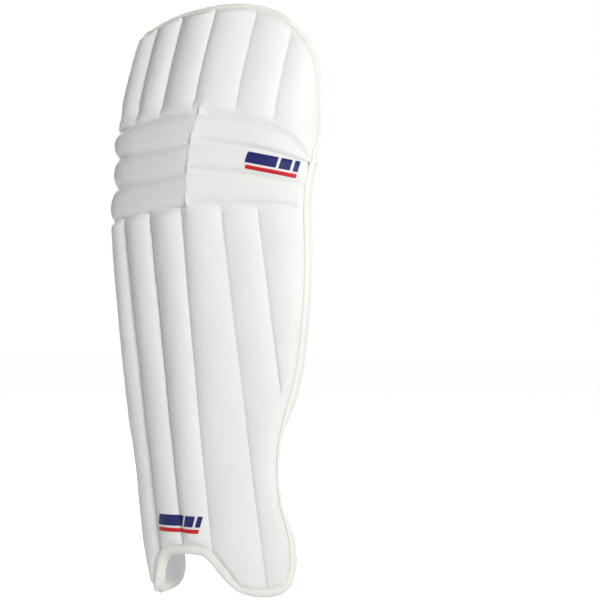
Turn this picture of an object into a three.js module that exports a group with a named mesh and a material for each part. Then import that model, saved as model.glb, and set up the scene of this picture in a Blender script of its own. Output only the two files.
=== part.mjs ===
// A cricket batting leg pad, worn on the shin: a ribbed front over canes and foam, three knee rolls, a top hat
// that flexes above the knee, a padded back, and two webbing straps that fold back through plastic rings.
// Millimetres, +Z up the leg, -Y the way the batter faces, +X towards the wing. Inside padFrame, heights are
// measured from the foot of the wing-side lobe; the group then puts the origin on the shin panel's flat back.
import * as THREE from "three";

// ---- driving dimensions ----
const PAD_HEIGHT = 760;
const SHELL = 18; // from the crest of the ribs to the back of the lining
const GROOVE = 7; // how deep the sewn lines between ribs are
const SKIN = 1.6; // face cover
const LINING = 1.4; // back lining
const GAP = 0.4; // clearance between neighbouring layers
const CANE_RADIUS = 2.7;
const CANE_ROOM = 0.7; // between a cane and the layers on each side of it
const SEAM_GAP = 10; // room for the top hat to flex over the upper knee roll
const ROLL_GAP = 1.2; // between neighbouring knee rolls
const PANEL_BACK_Y = 34; // the flat face that the shin lies on
const MOUNT_HEIGHT = 305; // of the origin, up the shin panel
const WEBBING = 1.6; // thickness of the strap webbing
const WEBBING_WIDTH = 58;
const RING_PITCH = 22; // between the middles of a ring's two bars
const BAR_RADIUS = 2.5;
const TURN_RADIUS = 4.1; // of the webbing's middle line round a ring bar
const STRAP_HALF_GAP = 1.7; // from the strap's middle plane to each closed layer's middle line
const CALF_HEIGHT = 414; // of the calf strap's middle
const ANKLE_HEIGHT = 172; // of the ankle strap's middle
const ANCHOR_LENGTH = 14; // from the pad's bound edge to the ring

// ---- shape tables: [height, value] or [across, height] ----
const BEND_LEFT = [[0, 86], [60, 99], [150, 111], [250, 128], [350, 142], [450, 151], [480, 153], [520, 148],
  [560, 144], [650, 146], [700, 143], [760, 136]];
const EDGE_LEFT = [[0, -178], [60, -188], [150, -189], [283, -199], [391, -208], [507, -210], [600, -205]];
const EDGE_RIGHT = [[0, 124], [33, 136], [60, 135], [85, 130], [120, 121], [155, 118], [190, 120], [220, 127],
  [264, 141], [294, 148], [340, 154], [399, 159], [448, 160], [495, 159], [524, 161], [555, 168], [600, 177]];
const BOTTOM_EDGE = [[-187, 62], [-178, 30], [-165, 8], [-148, -3], [-120, -6], [-98, -6], [-82, -2], [-72, 8],
  [-64, 26], [-56, 40], [-44, 50], [-20, 53], [4, 53], [17, 50], [28, 41], [40, 27], [54, 13], [66, 5], [91, 1],
  [117, 4], [130, 14], [136, 35]];
const TOP_EDGE = [[-200, 632], [-194, 664], [-182, 696], [-163, 719], [-140, 732], [-106, 740], [-88, 746],
  [-71, 751], [-54, 754], [-20, 758], [12, 760], [28, 760], [54, 757], [83, 749], [99, 741], [115, 729],
  [139, 709], [152, 692], [161, 676], [168, 655], [173, 630], [176, 606]];
const SEAM_LOWEST = [[-210, 475], [-142, 486], [-54, 496], [8, 501], [114, 500], [160, 495]];
const SEAM_LOWER = [[-210, 517], [-142, 529], [-54, 538], [3, 546], [58, 541], [114, 531], [162, 523]];
const SEAM_UPPER = [[-210, 556], [-142, 568], [-54, 576], [8, 582], [86, 572], [168, 553]];
const SEAM_TOP = [[-210, 590], [-142, 603], [-94, 611], [-54, 617], [0, 621], [26, 620], [70, 610], [112, 599],
  [142, 583], [162, 563], [178, 553]];
const SHIN_GROOVES_AT_TOP = [-165, -119, -71, -14, 47, 95]; // across, at GROOVES_TOP
const SHIN_GROOVES_AT_FOOT = [-122, -60, -17, 28, 96, 150]; // across, at GROOVES_FOOT
const GROOVES_TOP = 488;
const GROOVES_FOOT = 62;
const TOP_HAT_GROOVES = [-147, -98, -57, -1, 60, 113];
const BOLSTER_SPAN = [[60, 36, 84], [300, 32, 99], [535, 30, 103]]; // height, inner side, outer side
const LOCATOR_HALF_WIDTH = [[528, 42], [550, 47], [575, 60], [600, 82], [625, 99], [660, 102], [700, 97],
  [730, 88], [760, 74]];

// ---- materials ----
const cloth = (color, roughness = 0.75) => new THREE.MeshStandardMaterial({ color, roughness, metalness: 0 });
const MATERIALS = {
  face: cloth(0xf1f1ee, 0.55),
  lining: cloth(0xe9eaec),
  binding: cloth(0xf4f2ea, 0.5),
  foam: cloth(0xd9d6c8, 0.95),
  cane: cloth(0xc9a26a, 0.6),
  printed: cloth(0xd5d9ea),
  satin: cloth(0xeff0f3, 0.5),
  trim: cloth(0x1a1f8c, 0.6),
  webbing: cloth(0xf2f1ee, 0.8),
  badge: cloth(0xf4f4f2, 0.4),
  red_plastic: cloth(0x9c0f22, 0.35),
  red_tab: cloth(0xa81f2a, 0.45),
  hook: cloth(0xdedede, 0.9),
  emblem: cloth(0x22307f, 0.5),
};

// ---- small maths ----
const mix = (a, b, t) => a + (b - a) * t;

// Smooth interpolation of a table [[x, value], ...], with slopes that don't overshoot.
function tableValue(table, x, column = 1) {
  const last = table.length - 1;
  if (x <= table[0][0]) return table[0][column];
  if (x >= table[last][0]) return table[last][column];
  const slope = (i) => (table[i + 1][column] - table[i][column]) / (table[i + 1][0] - table[i][0]);
  const knotSlope = (i) => {
    if (i === 0 || i === last) return 0.5 * slope(Math.min(i, last - 1));
    const [before, after] = [slope(i - 1), slope(i)];
    return before * after <= 0 ? 0 : (2 * before * after) / (before + after);
  };
  const i = table.findIndex(([knot]) => knot > x) - 1;
  const span = table[i + 1][0] - table[i][0];
  const t = (x - table[i][0]) / span;
  const [h0, h1] = [2 * t ** 3 - 3 * t ** 2 + 1, t ** 3 - 2 * t ** 2 + t];
  const [h2, h3] = [3 * t ** 2 - 2 * t ** 3, t ** 3 - t ** 2];
  return h0 * table[i][column] + h1 * span * knotSlope(i) + h2 * table[i + 1][column]
    + h3 * span * knotSlope(i + 1);
}

// ---- the pad's curved surface, at the crest of the ribs ----
// across is measured round the surface from the shin's ridge, negative towards the side without a wing.
const RIDGE_TURN = 12; // degrees that the surface turns on each side of the ridge
const RIDGE_WIDTH = 22;
const SIDE_TURN_LEFT = 84;
const SIDE_TURN_RIGHT = [[0, 26], [540, 26], [640, 44]]; // height, degrees
const SIDE_BLEND_LEFT = 30;
const SIDE_BLEND_RIGHT = 36;
const RIGHT_BEND_NEARER = 5;

function turnAngle(across, z) {
  const bendLeft = tableValue(BEND_LEFT, z);
  const bendRight = bendLeft - RIGHT_BEND_NEARER;
  const degrees = RIDGE_TURN * Math.tanh(across / RIDGE_WIDTH)
    + 0.5 * tableValue(SIDE_TURN_RIGHT, z) * (1 + Math.tanh((across - bendRight) / SIDE_BLEND_RIGHT))
    - 0.5 * SIDE_TURN_LEFT * (1 + Math.tanh((-across - bendLeft) / SIDE_BLEND_LEFT));
  return THREE.MathUtils.degToRad(degrees);
}

// The point that lies `out` in front of the surface (negative is behind it), and the surface's directions there.
function padPoint(across, z, out = 0) {
  const STEPS = 24;
  const knee = 560;
  let x = 22 * Math.max(0, (z - 600) / 160) ** 1.2;
  let y = 12 * Math.max(0, (knee - z) / knee) ** 1.5 + 35 * Math.max(0, (z - knee) / 200) ** 1.4;
  for (let i = 0; i < STEPS; i++) {
    const angle = turnAngle((across * (i + 0.5)) / STEPS, z);
    x += (Math.cos(angle) * across) / STEPS;
    y += (Math.sin(angle) * across) / STEPS;
  }
  const angle = turnAngle(across, z);
  const along = new THREE.Vector3(Math.cos(angle), Math.sin(angle), 0);
  const front = new THREE.Vector3(Math.sin(angle), -Math.cos(angle), 0);
  return { point: new THREE.Vector3(x, y, z).addScaledVector(front, out), along, front };
}

// ---- geometry builders ----
function closedGeometry(points, triangles) {
  const geometry = new THREE.BufferGeometry().setFromPoints(points);
  geometry.setIndex(triangles);
  geometry.computeVertexNormals();
  return geometry;
}

// A closed slab over a patch of the pad. place(s, t) gives [across, z], with s and t from 0 to 1; front and back
// give either how far out each face lies there, or a point of it.
function slab(columns, rows, place, front, back) {
  const points = [];
  const triangles = [];
  for (const face of [front, back])
    for (let j = 0; j <= rows; j++)
      for (let i = 0; i <= columns; i++) {
        const [across, z] = place(i / columns, j / rows);
        const value = face(i / columns, j / rows, across, z);
        points.push(value.isVector3 ? value : padPoint(across, z, value).point);
      }
  const index = (layer, i, j) => layer * (columns + 1) * (rows + 1) + j * (columns + 1) + i;
  const quad = (a, b, c, d) => triangles.push(a, b, c, a, c, d);
  for (let j = 0; j < rows; j++)
    for (let i = 0; i < columns; i++) {
      quad(index(0, i, j), index(0, i + 1, j), index(0, i + 1, j + 1), index(0, i, j + 1));
      quad(index(1, i, j), index(1, i, j + 1), index(1, i + 1, j + 1), index(1, i + 1, j));
    }
  for (let i = 0; i < columns; i++) {
    quad(index(0, i, 0), index(1, i, 0), index(1, i + 1, 0), index(0, i + 1, 0));
    quad(index(0, i, rows), index(0, i + 1, rows), index(1, i + 1, rows), index(1, i, rows));
  }
  for (let j = 0; j < rows; j++) {
    quad(index(0, 0, j), index(0, 0, j + 1), index(1, 0, j + 1), index(1, 0, j));
    quad(index(0, columns, j), index(1, columns, j), index(1, columns, j + 1), index(0, columns, j + 1));
  }
  return closedGeometry(points, triangles);
}

// A closed solid through rings of points, each ring going the same way round.
function loft(rings) {
  const sides = rings[0].length;
  const points = rings.flat();
  const triangles = [];
  for (let k = 0; k < rings.length - 1; k++)
    for (let i = 0; i < sides; i++) {
      const [a, b] = [k * sides + i, k * sides + ((i + 1) % sides)];
      triangles.push(a, b, b + sides, a, b + sides, a + sides);
    }
  const end = (rings.length - 1) * sides;
  for (let i = 1; i < sides - 1; i++) triangles.push(0, i + 1, i, end, end + i, end + i + 1);
  return closedGeometry(points, triangles);
}

// A band of the given thickness along a plan path of Vector2, extruded to a width centred on z = 0.
function ribbon(path, thickness, width) {
  const sides = [1, -1].map((side) => path.map((p, i) => {
    const before = path[Math.max(0, i - 1)];
    const after = path[Math.min(path.length - 1, i + 1)];
    const along = after.clone().sub(before).normalize();
    return new THREE.Vector2(p.x - (side * along.y * thickness) / 2, p.y + (side * along.x * thickness) / 2);
  }));
  const shape = new THREE.Shape([...sides[1], ...sides[0].reverse()]);
  return new THREE.ExtrudeGeometry(shape, { depth: width, bevelEnabled: false }).translate(0, 0, -width / 2);
}

// A plate whose outline lies in the strap's face, from `inner` to `inner + thickness` off the middle plane.
function strapPlate(shape, inner, thickness, bevel = 0) {
  const geometry = new THREE.ExtrudeGeometry(shape, {
    depth: thickness - 2 * bevel,
    bevelEnabled: bevel > 0,
    bevelThickness: bevel,
    bevelSize: bevel,
    bevelOffset: -bevel,
    bevelSegments: 1,
    curveSegments: 5,
  });
  return geometry.rotateX(Math.PI / 2).translate(0, inner + thickness - bevel, 0);
}

function roundedRectangle(x0, z0, x1, z1, left, right = left) {
  const shape = new THREE.Shape();
  shape.moveTo(x0 + left, z0).lineTo(x1 - right, z0);
  shape.absarc(x1 - right, z0 + right, right, -Math.PI / 2, 0).lineTo(x1, z1 - right);
  shape.absarc(x1 - right, z1 - right, right, 0, Math.PI / 2).lineTo(x0 + left, z1);
  shape.absarc(x0 + left, z1 - left, left, Math.PI / 2, Math.PI).lineTo(x0, z0 + left);
  shape.absarc(x0 + left, z0 + left, left, Math.PI, 1.5 * Math.PI);
  return shape;
}

// ---- the frame that everything is placed in ----
const part = new THREE.Group();
const padFrame = new THREE.Group();
padFrame.position.set(0, -PANEL_BACK_Y, -MOUNT_HEIGHT);
part.add(padFrame);

function add(name, geometry, material, parent = padFrame) {
  const mesh = new THREE.Mesh(geometry, MATERIALS[material]);
  mesh.name = name;
  parent.add(mesh);
  return mesh;
}

// ---- ribs ----
const RIB_COLUMNS = 4; // strips in each rib

// Groove lines across the shin at a height, with the pad's two edges at the ends.
function shinKnots(z) {
  const down = (GROOVES_TOP - z) / (GROOVES_TOP - GROOVES_FOOT);
  const [left, right] = [tableValue(EDGE_LEFT, z), tableValue(EDGE_RIGHT, z)];
  const grooves = SHIN_GROOVES_AT_TOP.map((top, i) => mix(top, SHIN_GROOVES_AT_FOOT[i], down));
  const LEAST_RIB = 9;
  const inside = grooves.map((g, i) => Math.min(g, right - LEAST_RIB * (grooves.length - i)));
  return [left, ...inside, right];
}

function alongKnots(knots, s) {
  const place = s * (knots.length - 1);
  const i = Math.min(knots.length - 2, Math.floor(place));
  return mix(knots[i], knots[i + 1], place - i);
}

// 0 on a rib's crest and 1 in the grooves beside it.
const grooveShare = (s, ribs) => Math.abs(2 * ((s * ribs) % 1) - 1) ** 2.5;

const SHIN_RIBS = SHIN_GROOVES_AT_TOP.length + 1;
const HAT_RIBS = TOP_HAT_GROOVES.length + 1;
const HAT_KNOTS = [-200, ...TOP_HAT_GROOVES, 176];

function shinPlace(s, t) {
  let across = alongKnots(shinKnots(GROOVES_FOOT), s);
  let z = GROOVES_FOOT;
  for (let round = 0; round < 6; round++) {
    z = mix(tableValue(BOTTOM_EDGE, across), tableValue(SEAM_LOWEST, across) - ROLL_GAP, t);
    across = alongKnots(shinKnots(z), s);
  }
  return [across, z];
}

function hatPlace(s, t) {
  const across = alongKnots(HAT_KNOTS, s);
  return [across, mix(tableValue(SEAM_TOP, across) + SEAM_GAP, tableValue(TOP_EDGE, across), t)];
}

const edgeDrop = (s, t) => 4 * Math.max(Math.abs(2 * s - 1) ** 12, Math.abs(2 * t - 1) ** 12);
const ribbedFront = (ribs) => (s, t) => -Math.max(GROOVE * grooveShare(s, ribs), edgeDrop(s, t));

function ribbedPanel(prefix, ribs, place, rows) {
  const columns = ribs * RIB_COLUMNS;
  const front = ribbedFront(ribs);
  add(`${prefix}_cover`, slab(columns, rows, place, front, (s, t) => front(s, t) - SKIN), "face");
  const foamBack = -SHELL + LINING + 2 * (CANE_ROOM + CANE_RADIUS);
  const foamFront = (s, t) => front(s, t) - SKIN - GAP;
  add(`${prefix}_foam`, slab(columns, rows, place, foamFront, () => foamBack), "foam");
}

const SHIN_ROWS = 16;
const HAT_ROWS = 5;
ribbedPanel("shin", SHIN_RIBS, shinPlace, SHIN_ROWS);
ribbedPanel("top_hat", HAT_RIBS, hatPlace, HAT_ROWS);

// ---- canes, one behind the middle of each rib ----
function cane(name, place, rib, ribs, from, to) {
  const STEPS = 8;
  const out = -SHELL + LINING + CANE_ROOM + CANE_RADIUS;
  const points = Array.from({ length: STEPS + 1 }, (_, k) => {
    const [across, z] = place((rib + 0.5) / ribs, mix(from, to, k / STEPS));
    return padPoint(across, z, out).point;
  });
  const circle = new THREE.Shape().absarc(0, 0, CANE_RADIUS, 0, 2 * Math.PI);
  const path = new THREE.CatmullRomCurve3(points);
  add(name, new THREE.ExtrudeGeometry(circle, { extrudePath: path, steps: STEPS, curveSegments: 4 }), "cane");
}

for (let rib = 0; rib < SHIN_RIBS; rib++)
  cane(`shin_cane_${rib + 1}`, shinPlace, rib, SHIN_RIBS, rib === SHIN_RIBS - 1 ? 0.55 : 0.12, 0.97);
for (let rib = 1; rib < HAT_RIBS; rib++)
  cane(`top_hat_cane_${rib}`, hatPlace, rib, HAT_RIBS, 0.06, 0.9);

// ---- knee rolls, each a bulging cover over a foam core ----
const ROLLS = [
  { name: "lower", low: SEAM_LOWEST, high: SEAM_LOWER, left: -205.5, right: 156.5 },
  { name: "middle", low: SEAM_LOWER, high: SEAM_UPPER, left: -204, right: 160 },
  { name: "upper", low: SEAM_UPPER, high: SEAM_TOP, left: -202, right: 158 },
];
const ROLL_CREST = 3; // in front of the ribs' crests
const ROLL_NOTCH = 7; // behind the ribs' crests, where a roll meets its seam
const ROLL_COLUMNS = 22;
const ROLL_ROWS = 5;

for (const roll of ROLLS) {
  const place = (s, t) => {
    const across = mix(roll.left, roll.right, s);
    return [across, mix(tableValue(roll.low, across) + ROLL_GAP / 2, tableValue(roll.high, across) - ROLL_GAP / 2, t)];
  };
  const front = (s, t) => mix(ROLL_CREST, -ROLL_NOTCH, Math.max(Math.abs(2 * t - 1) ** 2.5, Math.abs(2 * s - 1) ** 16));
  const cover = slab(ROLL_COLUMNS, ROLL_ROWS, place, front, (s, t) => front(s, t) - SKIN);
  add(`knee_roll_cover_${roll.name}`, cover, "face");
  const inside = (s, t) => [mix(1, ROLL_COLUMNS - 1, s) / ROLL_COLUMNS, mix(1, ROLL_ROWS - 1, t) / ROLL_ROWS];
  const corePlace = (s, t) => place(...inside(s, t));
  const coreBack = -SHELL + LINING + 2.5 * GAP;
  const coreFront = (s, t) => front(...inside(s, t)) - SKIN - GAP;
  const core = slab(ROLL_COLUMNS - 2, ROLL_ROWS - 2, corePlace, coreFront, () => coreBack);
  add(`knee_roll_core_${roll.name}`, core, "foam");
}

// ---- back lining: from the lobes up to the knee rolls, behind the rolls, and behind the top hat ----
const liningFront = () => -SHELL + LINING;
const liningBack = () => -SHELL;
const KNEE_ROWS = 8;
function kneePlace(s, t) {
  const across = mix(mix(-209, -205, t), mix(158, 162, t), s);
  return [across, mix(tableValue(SEAM_LOWEST, across), tableValue(SEAM_TOP, across) - 2, t)];
}
add("back_lining", slab(SHIN_RIBS * RIB_COLUMNS, SHIN_ROWS, shinPlace, liningFront, liningBack), "lining");
add("knee_lining", slab(SHIN_RIBS * RIB_COLUMNS, KNEE_ROWS, kneePlace, liningFront, liningBack), "lining");
add("top_hat_lining", slab(HAT_RIBS * RIB_COLUMNS, HAT_ROWS, hatPlace, liningFront, liningBack), "lining");

// ---- bound edges: a flattened bead just outside the outline ----
const BEAD_OUT = 5;
const EDGE_ROOM = 0.7; // between the pad's layers and their binding
const BEAD_FRONT = -4.5;
const BEAD_BACK = -SHELL - 0.5;
const BEAD_SECTION = [[0.5, -0.5], [0.5, 0.5], [0.8, 0.5], [1, 0.2], [1, -0.2], [0.8, -0.5]]; // out, across thickness

// outline: a list of [across, z] that keeps the pad on its left.
function binding(name, outline) {
  const rings = outline.map(([across, z], i) => {
    const [a0, z0] = outline[Math.max(0, i - 1)];
    const [a1, z1] = outline[Math.min(outline.length - 1, i + 1)];
    const length = Math.hypot(a1 - a0, z1 - z0);
    const [outAcross, outZ] = [(z1 - z0) / length, -(a1 - a0) / length];
    const middle = (BEAD_FRONT + BEAD_BACK) / 2;
    const { point, along, front } = padPoint(across, z, middle);
    return BEAD_SECTION.map(([out, through]) => {
      const away = EDGE_ROOM + (out - 0.5) * 2 * BEAD_OUT;
      return point.clone().addScaledVector(along, outAcross * away).add(new THREE.Vector3(0, 0, outZ * away))
        .addScaledVector(front, through * (BEAD_FRONT - BEAD_BACK));
    });
  });
  add(name, loft(rings), "binding");
}

const steps = (from, to, count) => Array.from({ length: count + 1 }, (_, i) => mix(from, to, i / count));
const LOBE_ROWS = 1; // rows up each side that the binding round the lobes takes in
const shinSide = (s, from, to) => steps(from, to, Math.abs(to - from)).map((row) => shinPlace(s, row / SHIN_ROWS));
const besideKnee = (side, low, high) => steps(low, high, 5).map((z) => [tableValue(side, z), z]);
const SHIN_COLUMNS = SHIN_RIBS * RIB_COLUMNS;
binding("edge_binding_left", [
  ...shinSide(0, LOBE_ROWS, SHIN_ROWS), ...besideKnee(EDGE_LEFT, 496, 586),
].map(([across, z], i) => [across, z + (i ? 0 : 1)]).reverse());
binding("instep_binding", [
  shinPlace(0, LOBE_ROWS / SHIN_ROWS),
  ...steps(0, 1, SHIN_COLUMNS).map((s) => shinPlace(s, 0)),
  shinPlace(1, LOBE_ROWS / SHIN_ROWS),
]);
binding("edge_binding_right", [
  ...shinSide(1, LOBE_ROWS, SHIN_ROWS), ...besideKnee(EDGE_RIGHT, 504, 548),
].map(([across, z], i) => [across, z + (i ? 0 : 1)]));
binding("top_hat_binding", [
  ...steps(0, HAT_ROWS, HAT_ROWS).map((row) => hatPlace(1, row / HAT_ROWS)),
  ...steps(1, 0, HAT_RIBS * RIB_COLUMNS).slice(1).map((s) => hatPlace(s, 1)),
  ...steps(HAT_ROWS, 0, HAT_ROWS).slice(1).map((row) => hatPlace(0, row / HAT_ROWS)),
]);

// ---- back padding ----
const BEHIND_LINING = -SHELL - 0.8;

// Faces that start just behind the lining and bulge straight back towards the leg.
const againstLining = () => BEHIND_LINING;
const towardsLeg = (depth) => (s, t, across, z) => {
  const point = padPoint(across, z, BEHIND_LINING).point;
  point.y += depth(s, t);
  return point;
};

// A pad whose back is a low dome, `rim` thick at its outline.
function dome(name, columns, rows, place, height, rim, material) {
  const depth = (s, t) => {
    const share = (1 - Math.abs(2 * s - 1) ** 2.6) * (1 - Math.abs(2 * t - 1) ** 8);
    return rim + (height - rim) * Math.sqrt(Math.max(0, share));
  };
  add(name, slab(columns, rows, place, againstLining, towardsLeg(depth)), material);
}

const BOLSTER_THICKNESS = 24;
const BOLSTER_HEAD = 535;
const TRIM_WIDTH = 4;
for (const [name, side, foot] of [["left", -1, 80], ["right", 1, 62]]) {
  const band = (inner, outer) => (s, t) => {
    const z = mix(foot, BOLSTER_HEAD, t);
    const [near, far] = [inner(z), outer(z)];
    return [side > 0 ? mix(near, far, s) : -mix(far, near, s), z];
  };
  const innerSide = (z) => tableValue(BOLSTER_SPAN, z, 1);
  const outerSide = (z) => tableValue(BOLSTER_SPAN, z, 2);
  dome(`bolster_${name}`, 8, 12, band(innerSide, outerSide), BOLSTER_THICKNESS, 6, "printed");
  const trimPlace = band((z) => outerSide(z) + GAP, (z) => outerSide(z) + GAP + TRIM_WIDTH);
  add(`bolster_trim_${name}`, slab(1, 12, trimPlace, againstLining, towardsLeg(() => 9)), "trim");
}

// The shin panel's back is a true plane, so its distance behind the surface is worked out at each point.
const panelPlace = (s, t) => {
  const z = mix(80, 520, t);
  const half = tableValue(BOLSTER_SPAN, z, 1) - 2.5;
  return [mix(-half, half, s), z];
};
const toPlane = (s, t, across, z) => {
  const { point, front } = padPoint(across, z);
  return (PANEL_BACK_Y - point.y) / front.y;
};
add("shin_panel", slab(5, 13, panelPlace, againstLining, toPlane), "satin");

// The knee locator, in two parts: a cup on the knee rolls, and the larger part on the top hat.
const kneePad = (low, high, halfWidth) => (s, t) => {
  let [across, z] = [0, 0];
  for (let round = 0; round < 6; round++) {
    z = mix(low(across), high(across), t);
    across = (2 * s - 1) * halfWidth(z);
  }
  return [across, z];
};
const locatorHalf = (z) => tableValue(LOCATOR_HALF_WIDTH, z);
const CUP_FOOT = 540;
const cupHead = (across) => tableValue(SEAM_TOP, across) - 5;
const locatorFoot = (across) => tableValue(SEAM_TOP, across) + SEAM_GAP + 2;
const locatorHead = (across) => tableValue(TOP_EDGE, across) - 4;
dome("knee_cup", 14, 5, kneePad(() => CUP_FOOT, cupHead, locatorHalf), 22, 7, "satin");
dome("knee_locator", 16, 9, kneePad(locatorFoot, locatorHead, locatorHalf), 24, 7, "satin");
for (const [name, side] of [["left", -1], ["right", 1]]) {
  const gussetPlace = (s, t) => {
    const z = mix(CUP_FOOT + 1, 590, t);
    const [inner, outer] = [locatorHalf(z) + 3, 106];
    return [side > 0 ? mix(inner, outer, s) : -mix(outer, inner, s), z];
  };
  const gusset = slab(4, 5, gussetPlace, againstLining, towardsLeg((s, t) => 6 + 8 * 4 * t * (1 - t)));
  add(`locator_gusset_${name}`, gusset, "printed");
}

// ---- emblem badges on the front, thin plates over the ribs and the middle roll ----
function emblem(name, a0, a1, z0, z1, tilt, out) {
  const place = (s, t) => [mix(a0, a1, s), mix(z0, z1, t) + tilt * (0.5 - s)];
  add(name, slab(6, 2, place, () => out + 1, () => out), "emblem");
}
emblem("knee_emblem", 84, 142, 540, 558, 12, ROLL_CREST + 1.2);
emblem("instep_emblem", -50, 12, 78, 100, 0, 0.8);

// ---- straps ----
// Each strap has a frame of its own: x along the strap towards the wing side, y out from the leg, z up. Its origin
// is in the middle of the ring bar that the webbing folds round, on the wing side.
const BESIDE_EDGE = EDGE_ROOM + BEAD_OUT + 7.2; // straps start beside the edge on the side without a wing
const INSIDE_EDGE = 5; // and behind the lining, this far in from the edge, on the wing side

function edgePoint(across, z, side) {
  const { point, along } = padPoint(across, z, side > 0 ? BEAD_BACK - 3 : (BEAD_FRONT + BEAD_BACK) / 2);
  return point.addScaledVector(along, side > 0 ? -INSIDE_EDGE : -BESIDE_EDGE);
}

function strapFrame(height) {
  const levels = steps(height - 0.7 * WEBBING_WIDTH, height + 0.7 * WEBBING_WIDTH, 6);
  const left = edgePoint(Math.min(...levels.map((z) => tableValue(EDGE_LEFT, z))), height, -1);
  const right = edgePoint(Math.max(...levels.map((z) => tableValue(EDGE_RIGHT, z))), height, 1);
  const span = left.distanceTo(right);
  const group = new THREE.Group();
  group.rotation.z = Math.atan2(right.y - left.y, right.x - left.x);
  group.position.copy(right).lerp(left, (ANCHOR_LENGTH + RING_PITCH) / span);
  padFrame.add(group);
  return { group, span };
}

// Points round a ring bar at (x, 0), from one angle to another, in degrees.
function turn(x, from, to) {
  const COUNT = 10;
  return steps(from, to, COUNT).map((degrees) => {
    const angle = THREE.MathUtils.degToRad(degrees);
    return new THREE.Vector2(x + TURN_RADIUS * Math.cos(angle), TURN_RADIUS * Math.sin(angle));
  });
}

function ring(name, x, parent) {
  const SLOT = WEBBING_WIDTH + 2;
  const CAP = 6;
  const half = SLOT / 2 + CAP;
  const outline = roundedRectangle(x - BAR_RADIUS, -half, x + RING_PITCH + BAR_RADIUS, half, 9);
  const slot = roundedRectangle(x + BAR_RADIUS, -SLOT / 2, x + RING_PITCH - BAR_RADIUS, SLOT / 2, 2);
  outline.holes.push(new THREE.Path(slot.getPoints(2).reverse()));
  add(name, strapPlate(outline, -BAR_RADIUS, 2 * BAR_RADIUS, 1.2), "red_plastic", parent);
}

const at = (x, y) => new THREE.Vector2(x, y);
const LIVE_HINGE = -11; // where the flap bends as it peels open
const HINGE_CLEARANCE = 2.6;
const CONVERGE = 26; // how far from the ring the two layers come together
const TAIL = 1; // from an anchor's middle to each of its layers' middle lines

// A short loop of webbing from the pad's edge round a ring's outer bar at x; side is 1 towards the wing.
function anchorLoop(name, x, side, parent) {
  const half = ribbonTurn(x, side);
  const path = [at(x + side * ANCHOR_LENGTH, -TAIL), at(x + side * 5, -TURN_RADIUS + 0.4), ...half,
    at(x + side * 5, TURN_RADIUS - 0.4), at(x + side * ANCHOR_LENGTH, TAIL)];
  add(name, ribbon(path, WEBBING, WEBBING_WIDTH), "webbing", parent);
}

const ribbonTurn = (x, side) => (side > 0 ? turn(x, 270, 90) : turn(x, -90, 90));

function strap(prefix, frame, sizes) {
  const { group, span } = frame;
  ring(`${prefix}_ring_right`, 0, group);
  anchorLoop(`${prefix}_anchor_right`, RING_PITCH, 1, group);

  // The webbing that lies nearer the leg ends in a loop on the far ring's bar, or sewn to the pad's edge.
  const farBar = -(span - 2 * ANCHOR_LENGTH - 2 * RING_PITCH);
  const sewnEnd = -(span - ANCHOR_LENGTH - RING_PITCH);
  let start = [at(sewnEnd, -STRAP_HALF_GAP)];
  if (sizes.twoRings) {
    ring(`${prefix}_ring_left`, farBar - RING_PITCH, group);
    anchorLoop(`${prefix}_anchor_left`, farBar - RING_PITCH, -1, group);
    const stub = [at(farBar + 32, -STRAP_HALF_GAP - WEBBING - GAP), at(farBar + 20, -STRAP_HALF_GAP - WEBBING - GAP)];
    start = [...stub, at(farBar + 5, -TURN_RADIUS), ...turn(farBar, 270, 90), at(farBar + 4, TURN_RADIUS - 0.2),
      at(farBar + 18, -STRAP_HALF_GAP)];
  }
  const fold = [at(-CONVERGE, -STRAP_HALF_GAP), at(-6, -TURN_RADIUS), ...turn(0, -90, 90),
    at(LIVE_HINGE + HINGE_CLEARANCE, TURN_RADIUS - 0.6)];
  add(`${prefix}_strap`, ribbon([...start, ...fold], WEBBING, WEBBING_WIDTH), "webbing", group);

  const [tabEnd, tabStart] = sizes.tab;
  const UNDER_TAB = 14;
  const flap = [at(LIVE_HINGE, TURN_RADIUS - 0.7), at(-CONVERGE, STRAP_HALF_GAP),
    at(tabStart - UNDER_TAB, STRAP_HALF_GAP)];
  add(`${prefix}_flap`, ribbon(flap, WEBBING, WEBBING_WIDTH), "webbing", group);
  const face = STRAP_HALF_GAP + WEBBING / 2 + GAP;
  const half = WEBBING_WIDTH / 2;
  const badge = roundedRectangle(sizes.badge[0], -half + 5, sizes.badge[1], half - 5, 1.5);
  add(`${prefix}_badge`, strapPlate(badge, face, 1.2), "badge", group);
  const tabOutline = roundedRectangle(tabEnd, -half - 2, tabStart, half + 2, sizes.tabRadius, 1.5);
  add(`${prefix}_tab`, strapPlate(tabOutline, face, 2.2), "red_tab", group);
  const label = roundedRectangle(sizes.label[0], -18, sizes.label[1], 18, 1);
  add(`${prefix}_tab_label`, strapPlate(label, face + 2.2 + GAP, 0.8), "badge", group);
  const hook = roundedRectangle(sizes.hook[0], -half + 4, sizes.hook[1], half - 4, 2);
  add(`${prefix}_hook_patch`, strapPlate(hook, -0.4, 0.9), "hook", group);
}

strap("calf", strapFrame(CALF_HEIGHT), {
  twoRings: true, badge: [-140, -25], tab: [-186, -148], tabRadius: 14, label: [-177, -155], hook: [-132, -84],
});
strap("ankle", strapFrame(ANKLE_HEIGHT), {
  twoRings: false, badge: [-111, -24], tab: [-168, -119], tabRadius: 29, label: [-151, -126], hook: [-119, -71],
});

export default part;
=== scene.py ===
"""A cricket batting leg pad: its ribbed front, knee rolls, top hat, bound edges, padded back and straps, made
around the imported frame. Shapes are worked out in millimetres on the pad's own curved surface, as the frame's
are: "across" is measured round the surface from the shin's ridge, positive towards the wing, and heights from
the foot of the lobe on the wing side. They are turned into the frame's metres at the end."""

import math

import bpy
import numpy as np
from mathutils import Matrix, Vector
from mathutils.bvhtree import BVHTree
from mathutils.kdtree import KDTree


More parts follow.
